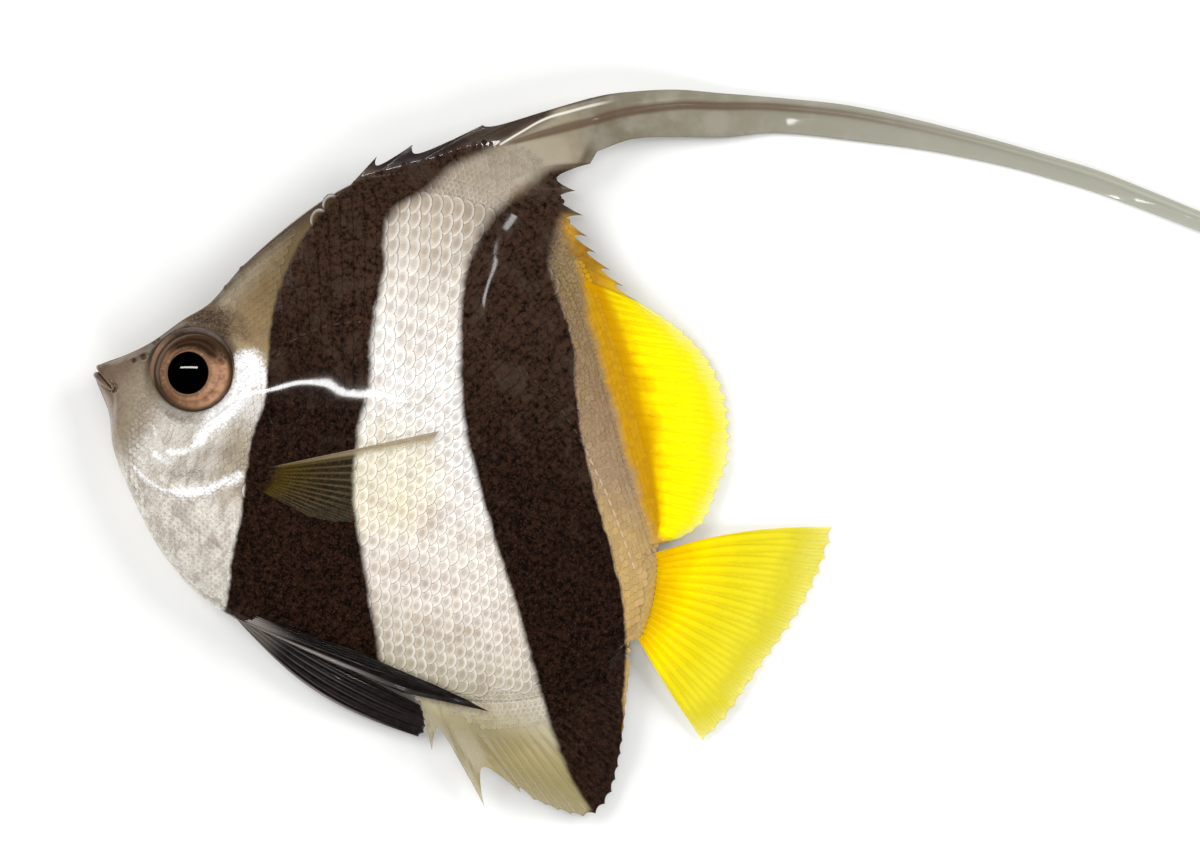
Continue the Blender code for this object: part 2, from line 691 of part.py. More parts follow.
def mouth_cutter():
    """A wedge that opens the line between the lips."""
    du, dv = MOUTH_CORNER[0] - MOUTH_TIP[0], MOUTH_CORNER[1] - MOUTH_TIP[1]
    points = []
    for share, open_by in ((-0.5, MOUTH_SLIT), (0.62, MOUTH_SLIT / 3)):
        for lift in (-0.5, 0.5):
            for side in (-1, 1):
                u = MOUTH_TIP[0] + du * share
                v = MOUTH_TIP[1] + dv * share + lift * open_by
                x, y = place(u, v)
                wide = 1.25 if share < 0 else 0.8
                points.append((x, y, MID_HEIGHT + side * MOUTH_HALF_WIDTH * wide))
    faces = [(0, 1, 3, 2), (4, 6, 7, 5), (0, 4, 5, 1), (2, 3, 7, 6), (0, 2, 6, 4), (1, 5, 7, 3)]
    made = mesh_object("mouth_cutter", points, faces)
    face_outwards(made.data)
    return made


def cheek_ridge(side):
    """The raised edge of the cheek bone, in front of the gill cover."""
    path_at = path_through(CHEEK_RIDGE)
    steps = 16
    path, radii = [], []
    for k in range(steps + 1):
        share = k / steps
        u, v = path_at(share)
        x, y = place(u, v)
        rise = GILL_COVER_RISE * ease((u - (GILL_STATION - GILL_COVER_RAMP)) / GILL_COVER_RAMP)
        half = body_half(u, v) + rise - CHEEK_RIDGE_SINK
        path.append((x, y, MID_HEIGHT + side * half))
        radii.append(CHEEK_RIDGE_RADIUS * (0.45 + 0.55 * math.sin(math.pi * share)))
    return tube("cheek_ridge", path, radii, 6)


def head():
    rings = []
    for station in HEAD_STATIONS + [GILL_STATION - (GAP + 0.02) / 2]:
        ramp = ease((station - (GILL_STATION - GILL_COVER_RAMP)) / GILL_COVER_RAMP)
        rings.append(body_ring(station, GILL_COVER_RISE * ramp))
    made = loft("head", rings)
    face_outwards(made.data)
    added, cut = [lip("lip_upper", LIP_SPREAD), lip("lip_lower", -LIP_SPREAD)], [mouth_cutter()]
    for side in (1, -1):
        seat = side_frame(*EYE_CENTRE, side, EYE_SINK, EYE_TURN_DEG)
        added.append(ring_band("rim", RIM_RADIUS, RIM_THICKNESS, 28, 6, seat))
        added.append(cheek_ridge(side))
        socket = lathe("socket", SOCKET_PROFILE, SOCKET_FRONT, SOCKET_BACK, EYE_SEGMENTS, seat)
        face_outwards(socket.data)
        cut.append(socket)
        for u, v in NOSTRILS:
            pit = lathe("nostril", [(NOSTRIL_RADIUS, 0.6), (NOSTRIL_RADIUS, -0.05),
                                    (NOSTRIL_RADIUS * 0.6, -0.4)], 0.6, -0.5, 8,
                        side_frame(u, v, side))
            face_outwards(pit.data)
            cut.append(pit)
    combine(made, added, "UNION")
    combine(made, cut, "DIFFERENCE")
    return made


def eyes():
    made = []
    for name, side in (("eye_left", 1), ("eye_right", -1)):
        seat = side_frame(*EYE_CENTRE, side, EYE_SINK, EYE_TURN_DEG)
        eye = lathe(name, EYE_PROFILE, EYE_FRONT, EYE_BACK, EYE_SEGMENTS, seat)
        face_outwards(eye.data)
        made.append(eye)
    return made


# Trunk and tail stalk

def body_length(name, first, last, count):
    """A length of the body between two stations, with half a gap taken off at each cut."""
    inset = (GAP + 0.02) / 2
    start = first + inset
    end = last - (inset if last < STATION_END else 0.0)
    rings = [body_ring(start + (end - start) * k / (count - 1)) for k in range(count)]
    made = loft(name, rings)
    face_outwards(made.data)
    return made


def main():
    for old in list(bpy.data.objects):
        bpy.data.objects.remove(old)
    finish(head(), CHEEK_SILVER, 0.28)
    finish(body_length("trunk", GILL_STATION, STALK_STATION, TRUNK_RINGS), WHITE_SKIN, 0.3)
    finish(body_length("tail_stalk", STALK_STATION, STATION_END, STALK_RINGS), STALK_GREY, 0.3)
    for eye in eyes():
        finish(eye, IRIS_BROWN, 0.05)
    finish(spiny_dorsal_fin(), FIN_BLACK, 0.3)
    for k, name in enumerate(("banner_root", "banner_middle", "banner_tip")):
        piece = banner_piece(name, BANNER_CUTS[k], BANNER_CUTS[k + 1], BANNER_STEPS[k])
        finish(piece, BANNER_GREY, 0.25)
    finish(soft_dorsal_fin(), FIN_YELLOW, 0.3)
    finish(tail_fin(), FIN_YELLOW, 0.3)
    finish(anal_fin(), FIN_BLACK, 0.3)
    for fin in pectoral_fins():
        finish(fin, PECTORAL_CLEAR, 0.2)
    for fin in pelvic_fins():
        finish(fin, FIN_BLACK, 0.3)


main()
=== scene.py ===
# Bannerfish on its right flank, wet and fresh: skin, scales, fins, eyes, floor, lights and camera.
# Plan coordinates are millimetres in the fish's own middle plane. u runs back from the snout
# tip along the body, and v runs up towards the back. Heights are millimetres above the floor.
import math

import bmesh
import bpy
import numpy as np
from mathutils import Matrix, Vector


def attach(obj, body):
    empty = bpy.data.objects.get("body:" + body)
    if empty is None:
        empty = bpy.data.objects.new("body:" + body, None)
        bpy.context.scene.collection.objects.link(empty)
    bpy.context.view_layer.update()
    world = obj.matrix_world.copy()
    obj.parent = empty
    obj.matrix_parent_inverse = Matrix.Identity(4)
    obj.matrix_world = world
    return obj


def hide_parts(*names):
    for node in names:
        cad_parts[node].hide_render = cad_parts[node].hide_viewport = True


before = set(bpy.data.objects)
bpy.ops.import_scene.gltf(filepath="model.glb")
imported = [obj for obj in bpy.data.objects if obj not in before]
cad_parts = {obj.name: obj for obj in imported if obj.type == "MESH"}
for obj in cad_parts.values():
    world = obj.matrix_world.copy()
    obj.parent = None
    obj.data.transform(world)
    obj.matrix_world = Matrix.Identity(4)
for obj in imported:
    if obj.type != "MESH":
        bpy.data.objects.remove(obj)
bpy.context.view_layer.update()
print("frame loaded with", len(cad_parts), "nodes")

# The body, as the solids have it
body = {
    "noseUp": 21.5,             # degrees between the body's axis and the frame's X axis
    "rest": (27.0, 5.0),        # plan point over the frame's origin
    "midHeight": 5.25,          # height of the middle plane where the flank rests
    "bend": (10.5, 43.5),       # X places where the rear starts and ends its bend to the floor
    "floorLevel": 0.25,         # middle height of a fin that lies on the floor
    "droop": (27.0, 40.0, 2.2), # -Y places and depth of the droop below the belly
    "finLowest": 0.02,          # lowest height of a fin's underside
    "lastStation": 59.15,
    "back": [
        (0.3, 0.3), (0.9, 1.05), (2.0, 2.2), (4.1, 4.5), (6.4, 8.0), (8.2, 10.4), (9.8, 14.8),
        (12.8, 20.7), (15.3, 24.6), (17.3, 26.9), (19.5, 28.3), (23.1, 30.0), (29.2, 31.0),
        (36.5, 28.8), (40.2, 26.1), (45.0, 20.9), (49.4, 15.2), (53.8, 9.4), (58.4, 3.8),
    ],
    "belly": [
        (0.3, -0.3), (0.9, -1.1), (2.9, -3.5), (4.5, -6.5), (7.5, -9.8), (12.9, -14.5),
        (17.9, -17.1), (21.4, -17.9), (27.1, -18.3), (33.7, -18.6), (41.6, -18.2),
        (47.1, -17.0), (52.6, -14.6), (56.6, -11.2), (59.9, -5.5),
    ],
    "lean": [(0.3, 0.0), (9.0, 1.6), (17.75, 3.15), (30.0, 2.6), (45.0, 1.6), (59.15, 0.75)],
    "halfWidth": [
        (0.3, 0.75), (1.0, 1.25), (3.0, 2.15), (6.0, 3.2), (9.5, 4.1), (14.0, 4.7), (19.0, 5.1),
        (26.0, 5.75), (33.0, 5.4), (41.0, 4.3), (49.0, 3.15), (55.0, 2.35), (59.15, 1.8),
    ],
    "edgeHalf": [(0.3, 0.5), (5.0, 0.8), (17.0, 0.85), (40.0, 0.8), (59.15, 0.8)],
}


def smoothCurve(points):
    # a smooth function through (x, y) points that doesn't overshoot them
    xs, ys = np.array(points, float).T
    steps = np.diff(xs)
    slopes = np.diff(ys) / steps
    before, after = slopes[:-1], slopes[1:]
    total = np.where(before + after == 0, 1.0, before + after)
    inner = np.where(before * after > 0, 2 * before * after / total, 0.0)
    tangents = np.concatenate([slopes[:1], inner, slopes[-1:]])

    def value(x):
        x = np.clip(x, xs[0], xs[-1])
        i = np.clip(np.searchsorted(xs, x, side="right") - 1, 0, len(xs) - 2)
        t = (x - xs[i]) / steps[i]
        rise = (2 * t**3 - 3 * t**2 + 1) * ys[i] + (3 * t**2 - 2 * t**3) * ys[i + 1]
        pull = (t**3 - 2 * t**2 + t) * tangents[i] + (t**3 - t**2) * tangents[i + 1]
        return rise + steps[i] * pull

    return value


def smoothPath(points):
    # a share of the path's length, 0 to 1, gives a (u, v) point
    points = np.array(points, float)
    reach = np.concatenate([[0.0], np.cumsum(np.linalg.norm(np.diff(points, axis=0), axis=1))])
    us = smoothCurve(np.column_stack([reach, points[:, 0]]))
    vs = smoothCurve(np.column_stack([reach, points[:, 1]]))
    return lambda share: np.stack([us(share * reach[-1]), vs(share * reach[-1])], axis=-1)


def ease(t):
    t = np.clip(t, 0.0, 1.0)
    return t * t * (3 - 2 * t)


def bell(away, half):
    # 1 on a line, falling off beside it
    return np.exp(-((away / half) ** 2))


backLine = smoothCurve(body["back"])
bellyLine = smoothCurve(body["belly"])
leanAt = smoothCurve(body["lean"])
halfWidthAt = smoothCurve(body["halfWidth"])
edgeHalfAt = smoothCurve(body["edgeHalf"])
turn = math.radians(body["noseUp"])
restX = body["rest"][0] * math.cos(turn) + body["rest"][1] * math.sin(turn)
restY = -body["rest"][0] * math.sin(turn) + body["rest"][1] * math.cos(turn)


def framePlace(u, v):
    x = u * math.cos(turn) + v * math.sin(turn) - restX
    y = -u * math.sin(turn) + v * math.cos(turn) - restY
    return x, y


def midHeight(u, v):
    x, y = framePlace(u, v)
    start, end = body["bend"]
    bend = (body["midHeight"] - body["floorLevel"]) * ease((x - start) / (end - start))
    first, last, depth = body["droop"]
    droop = depth * ease((-y - first) / (last - first))
    return np.maximum(body["midHeight"] - bend - droop, body["floorLevel"])


def halfAt(station, s):
    # half thickness on a cross-section, s from -1 at the belly to 1 at the back
    s = np.clip(s, -1.0, 1.0)
    fullness = np.where(s > 0, 1 - np.abs(s) ** 1.75, (1 - np.abs(s) ** 2.2) ** 0.8)
    edge = edgeHalfAt(station)
    return edge * (1 - s * s) ** 0.25 + (halfWidthAt(station) - edge) * fullness


def sectionAt(u, v):
    # the station and the s of plan points
    low = np.full(np.shape(u), body["back"][0][0])
    high = np.full(np.shape(u), body["lastStation"])
    for _ in range(16):
        station = (low + high) / 2
        lean = leanAt(station)
        foot, top = bellyLine(station + lean), backLine(station - lean)
        share = (v - foot) / (top - foot)
        ahead = station + lean * (1 - 2 * share) < u
        low, high = np.where(ahead, station, low), np.where(ahead, high, station)
    return station, 2 * share - 1


def distanceTo(path, u, v, count=48):
    # distance from plan points to a path, and which side of it they are on
    line = smoothPath(path)(np.linspace(0, 1, count))
    best = np.full(np.shape(u), 1e9)
    side = np.zeros(np.shape(u))
    for a, b in zip(line[:-1], line[1:]):
        du, dv = b - a
        length = math.hypot(du, dv)
        t = np.clip(((u - a[0]) * du + (v - a[1]) * dv) / length**2, 0, 1)
        away = np.hypot(u - a[0] - t * du, v - a[1] - t * dv)
        cross = (du * (v - a[1]) - dv * (u - a[0])) / length
        side = np.where(away < best, np.sign(cross), side)
        best = np.minimum(best, away)
    return best, side


# Strokes over the cheek and the breast: the path, half the width and the strength.
# Silver strokes are positive and are painted glare on the silvery cheek; dusky ones are negative.
strokes = [
    ([(13.6, 5.8), (16.4, 5.4)], 0.85, 1.3),
    ([(14.2, 6.4), (14.6, 4.6), (14.1, 2.6), (13.4, 0.8)], 1.2, 1.5),
    ([(13.4, 0.8), (12.9, -1.2), (12.6, -2.4)], 0.8, 0.95),
    ([(6.2, 7.4), (8.2, 9.3), (10.9, 9.9), (12.9, 8.8)], 0.95, -0.7),
    ([(7.9, 8.7), (9.2, 9.1), (10.4, 8.2)], 1.0, -1.9),
    ([(10.6, 7.9), (11.5, 6.7)], 0.55, -1.2),
    ([(7.0, 7.3), (9.3, 8.1), (11.4, 7.6)], 0.3, 0.4),
    ([(12.7, -2.2), (12.2, -3.4), (11.2, -4.4), (10.1, -4.9)], 0.38, 0.9),
    ([(7.3, -7.6), (8.8, -8.2), (10.6, -8.6), (12.7, -8.1), (14.5, -7.3)], 0.26, 1.0),
    ([(12.7, -8.1), (14.5, -7.3), (15.9, -6.0), (17.4, -4.6)], 0.62, 0.95),
    ([(7.3, -4.2), (8.5, -5.4), (9.3, -5.8)], 0.24, 0.42),
    ([(8.9, -5.6), (10.7, -5.9)], 0.4, 0.75),
    ([(7.5, -2.9), (8.6, -4.1), (9.8, -4.8), (11.3, -4.4)], 0.26, 0.42),
    ([(6.4, -6.1), (8.2, -6.7)], 0.25, 0.35),
    # painted shadow under the eye's lower edge
    ([(8.5, -1.2), (9.7, -1.35), (10.8, -0.9)], 0.5, -0.5),
    ([(11.4, -6.7), (13.6, -5.7)], 1.1, -0.45),
    # painted shade along the gill cover's rear edge
    ([(13.4, -3.6), (16.0, -2.4)], 1.2, -0.35),
    ([(12.7, -10.4), (15.4, -11.0), (18.0, -11.8)], 0.2, -0.3),
    ([(14.9, -9.8), (17.0, -10.9), (19.0, -12.4)], 0.2, -0.3),
]


def strokesAt(u, v):
    total = np.zeros(np.shape(u))
    for path, half, strength in strokes:
        total += strength * bell(distanceTo(path, u, v, 12)[0], half)
    return np.clip(total, -2, 1.6)


def linkedObject(name, data):
    made = bpy.data.objects.new(name, data)
    bpy.context.scene.collection.objects.link(made)
    return made


def meshPiece(name, points, faces):
    # a mesh from frame points in millimetres
    mesh = bpy.data.meshes.new(name)
    mesh.from_pydata((np.asarray(points, float) * 0.001).tolist(), [], [list(f) for f in faces])
    work = bmesh.new()
    work.from_mesh(mesh)
    bmesh.ops.recalc_face_normals(work, faces=work.faces)
    work.to_mesh(mesh)
    work.free()
    mesh.shade_smooth()
    made = linkedObject(name, mesh)
    return made


def pointValues(mesh, name, values):
    # keeps a number or a vector for each vertex, for materials and trees to read
    values = np.asarray(values, np.float32)
    kind, field = ("FLOAT", "value") if values.ndim == 1 else ("FLOAT_VECTOR", "vector")
    mesh.attributes.new(name, kind, "POINT").data.foreach_set(field, values.ravel())


def setUvs(mesh, name, spots):
    # a UV map from one place for each vertex
    layer = mesh.uv_layers.new(name=name)
    index = np.empty(len(mesh.loops), np.int32)
    mesh.loops.foreach_get("vertex_index", index)
    layer.data.foreach_set("uv", np.asarray(spots, np.float32)[index].ravel())


def ringFaces(first, rows, count):
    # faces between rings of points
    starts = [(row * count + k, row * count + (k + 1) % count)
              for row in range(rows) for k in range(count)]
    return [(first + a, first + a + count, first + b + count, first + b) for a, b in starts]


def cappedFaces(rows, count):
    # faces between rings that a single point closes at each end
    start = 1 + rows * count
    last = start + count
    faces = [(0, 1 + k, 1 + (k + 1) % count) for k in range(count)]
    faces += ringFaces(1, rows, count)
    return faces + [(last, start + (k + 1) % count, start + k) for k in range(count)]


def planSpots(mesh):
    # the plan coordinates of a piece's points
    spots = np.empty(len(mesh.vertices) * 3, np.float32)
    mesh.vertices.foreach_get("co", spots)
    x, y = spots[::3] * 1000 + restX, spots[1::3] * 1000 + restY
    return x * math.cos(turn) - y * math.sin(turn), x * math.sin(turn) + y * math.cos(turn)


# Relief of the skin: what stands out of the flank or sinks into it
relief = {
    "eye": (9.34, 3.4),
    "socket": (4.24, 1.7, 0.75),                        # radius, depth and width of the wall
    "rims": [(4.7, 0.1, 0.32), (5.35, -0.06, 0.4)],     # radius, rise and half width
    "gillEdge": [(15.3, 9.0), (16.2, 6.1), (17.5, 3.1), (18.3, -0.9), (19.0, -4.9),
                 (20.0, -10.4), (20.9, -16.9)],
    "gillRise": 0.24, "gillRamp": 2.6, "gillLip": 0.22, "gillTop": (9.5, 3.0),
    "cheekEdge": [(15.0, 4.6), (16.2, 1.0), (16.6, -3.0), (15.4, -6.6), (12.6, -8.3),
                  (9.2, -8.4), (6.9, -7.5)],
    "cheekRise": 0.12, "cheekGroove": 0.08, "cheekHalf": 0.5,
    "nostrils": [(4.1, 3.0, 0.3), (3.35, 2.3, 0.24)],
    "nostrilDepth": 0.5, "nostrilWall": (0.06, 0.16), "nostrilRim": (0.16, 0.09, 0.13),
    # the pectoral fin's foot and the jaw's fold: path, rise, half width and steps
    "lines": [([(19.1, -2.4), (19.8, -3.8), (20.0, -5.2)], 0.15, 1.1, 12),
              ([(2.3, -1.2), (3.0, -2.2), (3.3, -3.3)], -0.12, 0.22, 20)],
    "lateralLine": [(16.4, 7.6), (17.8, 10.4), (21.1, 13.2), (24.7, 14.9), (27.4, 16.3),
                    (30.5, 17.0), (33.6, 17.0), (38.9, 15.9), (44.4, 13.6), (51.0, 8.3),
                    (57.6, 1.2)],
}


def reliefAt(u, v):
    size = relief
    near = np.hypot(u - size["eye"][0], v - size["eye"][1])
    radius, depth, wall = size["socket"]
    rise = -depth * ease((radius - near) / wall)
    for radius, height, half in size["rims"]:
        rise += height * bell(near - radius, half)
    away, side = distanceTo(size["gillEdge"], u, v)
    ahead = away * np.where(side > 0, 1, -1)
    cover = np.where(ahead > 0, ease(1 - ahead / size["gillLip"]),
                     ease(1 + ahead / size["gillRamp"]))
    top, fade = size["gillTop"]
    rise += size["gillRise"] * cover * ease((top - v) / fade)
    away, side = distanceTo(size["cheekEdge"], u, v)
    rise += size["cheekRise"] * bell(away, size["cheekHalf"])
    rise -= size["cheekGroove"] * bell(away * side + 1.0, size["cheekHalf"])
    wider, wall = size["nostrilWall"]
    outward, height, half = size["nostrilRim"]
    for nostrilU, nostrilV, radius in size["nostrils"]:
        away = np.hypot(u - nostrilU, v - nostrilV)
        rise -= size["nostrilDepth"] * ease((radius + wider - away) / wall)
        rise += height * bell(away - radius - outward, half)
    for path, height, half, count in size["lines"]:
        rise += height * bell(distanceTo(path, u, v, count)[0], half)
    return rise


skin = {
    "inset": 0.13,        # depth of the coat of scales under the solids' surface
    "fade": 0.08, "insetFade": 0.02,    # how near a section's ends the relief and the inset fade
    "sideSteps": 168,
    "headPitch": 0.17, "bodyRings": 100,
    "joint": 3.4,         # station where the mouth's rings meet the body's
    "headEnd": 18.6, "bodyStart": 18.8,
    "tailReach": 1.3,     # how far the skin runs out over the tail fin's base
    "tailRings": (0.2, 0.45, 0.7, 0.88, 1.0), "tailHalf": 0.16, "tailNarrowing": 0.12,
    "lowest": 0.3,
}


def flankHalf(station, s, u, v, share=1.0):
    # half thickness of the skin, with a share of its relief
    fade = share * ease((1 - np.abs(s)) / skin["fade"])
    half = halfAt(station, s) - skin["inset"] * np.clip((1 - np.abs(s)) / skin["insetFade"], 0, 1)
    return np.maximum(half + reliefAt(u, v) * fade, 0.0)


# Flesh that runs out over the feet of the back's and the belly's fins
sheath = {
    "half": 0.34, "over": 1.7,
    "back": [(17, 0.2), (20, 0.7), (22, 1.2), (24, 2.0), (27, 4.0), (31, 5.8), (33, 5.4),
             (35, 4.4), (37, 3.0), (39, 2.3), (41, 2.0), (46, 2.3), (54, 2.2), (58.4, 0.6)],
    "belly": [(41.6, 0.4), (45, 1.4), (49, 2.6), (55, 2.8), (59.5, 0.6)],
}
sheathBack = smoothCurve(sheath["back"])
sheathBelly = smoothCurve(sheath["belly"])


def slopeOf(line, u):
    return (line(u + 0.2) - line(u - 0.2)) / 0.4


def beyond(line, outward, u, v):
    # how far plan points lie outside a line of the outline, negative inside it
    return outward * (v - line(u)) / np.hypot(1.0, slopeOf(line, u))


def outlinePoint(line, u, outward, off=0.35):
    slope = slopeOf(line, u)
    length = math.hypot(1.0, slope)
    return float(u - outward * slope / length * off), float(line(u) + outward * off / length)


def sheathShare(u, v):
    # 1 on the body and its fins' feet, falling to 0 out on the fins
    pastBack = beyond(backLine, 1, u, v) - sheathBack(u)
    pastBelly = beyond(bellyLine, -1, u, v) - sheathBelly(u)
    return ease(1 - np.maximum(pastBack, pastBelly) / sheath["over"])


def flankHeight(u, v, side, share=1.0):
    # height of the skin's surface over plan points, on the left (1) or the right (-1) flank
    station, s = sectionAt(u, v)
    half = np.hypot(flankHalf(station, s, u, v, share), sheath["half"] * sheathShare(u, v))
    return np.maximum(midHeight(u, v) + side * half, skin["lowest"])


mouth = {
    "tip": 0.05, "corner": (2.2, -1.05), "halfWidth": 1.4, "cornerShare": 0.08,
    "lip": [(-0.8, 0.03), (-0.5, 0.05), (-0.25, 0.08), (-0.07, 0.15), (0.02, 0.26), (0.05, 0.4),
            (0.0, 0.56), (-0.12, 0.68), (-0.26, 0.76), (-0.36, 0.86)],
    "rings": 15,
}


def mouthRing(out, lift, steps):
    # one ring round the lips, from the lower lip's tip by the left corner to the upper lip's tip
    t = np.linspace(0, 1, steps + 1)
    low, high = 0.5 - mouth["cornerShare"], 0.5 + mouth["cornerShare"]
    swing = np.where(t < low, t / low, np.where(t > high, (1 - t) / low, 1.0)) * math.pi / 2
    round_ = np.clip((t - low) / (high - low), 0, 1) * math.pi
    back = 1 - np.cos(swing)
    spread = lift * (1 - 0.5 * back)
    cornerU, cornerV = mouth["corner"]
    u = mouth["tip"] + (cornerU - mouth["tip"]) * back - np.cos(swing) * out
    u = u + np.sin(round_) * spread
    v = cornerV * back - np.cos(round_) * spread
    h = mouth["halfWidth"] * np.sin(swing) + np.sin(swing) * out
    return u, v, h


def sectionLine(foot, top, s):
    # plan points across the body, from a u on the belly to a u on the back
    low = bellyLine(foot)
    return foot + (top - foot) * (s + 1) / 2, low + (backLine(top) - low) * (s + 1) / 2


def makeSkin():
    steps = skin["sideSteps"]
    t = np.linspace(0, 1, steps + 1)
    s = np.clip(0.5 * np.sin(math.pi * (t - 0.5)) + 0.5 * (2 * t - 1), -1, 1)
    rings = [mouthRing(out, lift, steps) for out, lift in mouth["lip"]]
    lipU, lipV, lipH = rings[-1]
    lean = leanAt(skin["joint"])
    ringU, ringV = sectionLine(skin["joint"] + lean, skin["joint"] - lean, s)
    for k in range(1, mouth["rings"]):
        share = k / mouth["rings"]
        u = lipU + (ringU - lipU) * share
        v = lipV + (ringV - lipV) * share
        keep = (1 - share) ** 2
        top = backLine(u[-1]) + (lipV[-1] - backLine(lipU[-1])) * keep
        foot = bellyLine(u[0]) + (lipV[0] - bellyLine(lipU[0])) * keep
        middle = (foot + top) / 2
        v = middle + (v - (v[0] + v[-1]) / 2) * (top - foot) / (v[-1] - v[0])
        weight = ease(share * 1.5)
        plain = lipH * (1 - share) + halfAt(skin["joint"], s) * share
        h = plain * (1 - weight) + flankHalf(*sectionAt(u, v), u, v) * weight
        h[0] = h[-1] = 0.0
        rings.append((u, v, h))
    stations = list(np.arange(skin["joint"], skin["headEnd"], skin["headPitch"]))
    stations += list(np.linspace(skin["bodyStart"], body["lastStation"], skin["bodyRings"]))
    for station in stations:
        lean = leanAt(station)
        u, v = sectionLine(station + lean, station - lean, s)
        rings.append((u, v, flankHalf(np.full(len(s), station), s, u, v)))
    endU, endV, endH = rings[-1]
    middle, half = (endV[0] + endV[-1]) / 2, skin["tailHalf"]
    for share in skin["tailRings"]:
        narrow = 1 - skin["tailNarrowing"] * share
        thin = half + (endH - half) * (1 - share**1.6)
        reach = skin["tailReach"] * share * (0.55 + 0.45 * np.cos(s * 1.4))
        rings.append((endU + reach, middle + (endV - middle) * narrow, np.minimum(thin, endH)))
    points, places = [], []
    size = 2 * steps
    for u, v, h in rings:
        x, y = framePlace(u, v)
        middle = midHeight(u, v)
        left = np.column_stack([x, y, middle + h])
        right = np.column_stack([x, y, np.maximum(middle - h, skin["lowest"])])
        points.append(np.concatenate([left, right[-2:0:-1]]))
        place = np.column_stack([u, v])
        places.append(np.concatenate([place, place[-2:0:-1]]))
    index = np.arange(len(rings) * size).reshape(len(rings), size)
    after = np.roll(index, -1, axis=1)
    quads = np.stack([index[:-1], after[:-1], after[1:], index[1:]], axis=-1).reshape(-1, 4)
    faces = quads.tolist()
    for first, flip in ((0, False), ((len(rings) - 1) * size, True)):
        for i in range(steps // 2):   # close the mouth's slit, then the tail's end
            a, b = first + i, first + i + 1
            c, d = first + steps - i - 1, first + steps - i
            strips = [[a, b, c, d]] if b != c else [[a, b, d]]
            e, f = first + (size - i) % size, first + size - i - 1
            g, h = first + steps + i + 1, first + steps + i
            strips += [[e, h, g, f]] if f != g else [[e, h, f]]
            faces += [strip[::-1] for strip in strips] if flip else strips
    made = meshPiece("skin", np.concatenate(points), faces)
    pointValues(made.data, "strokes", strokesAt(*np.concatenate(places).T))
    return made


# Materials: colours are given as a screen shows them, 0 to 255
def shade(red, green, blue):
    parts = [c / 255 for c in (red, green, blue)]
    return (*[p / 12.92 if p < 0.04 else ((p + 0.055) / 1.055) ** 2.4 for p in parts], 1.0)


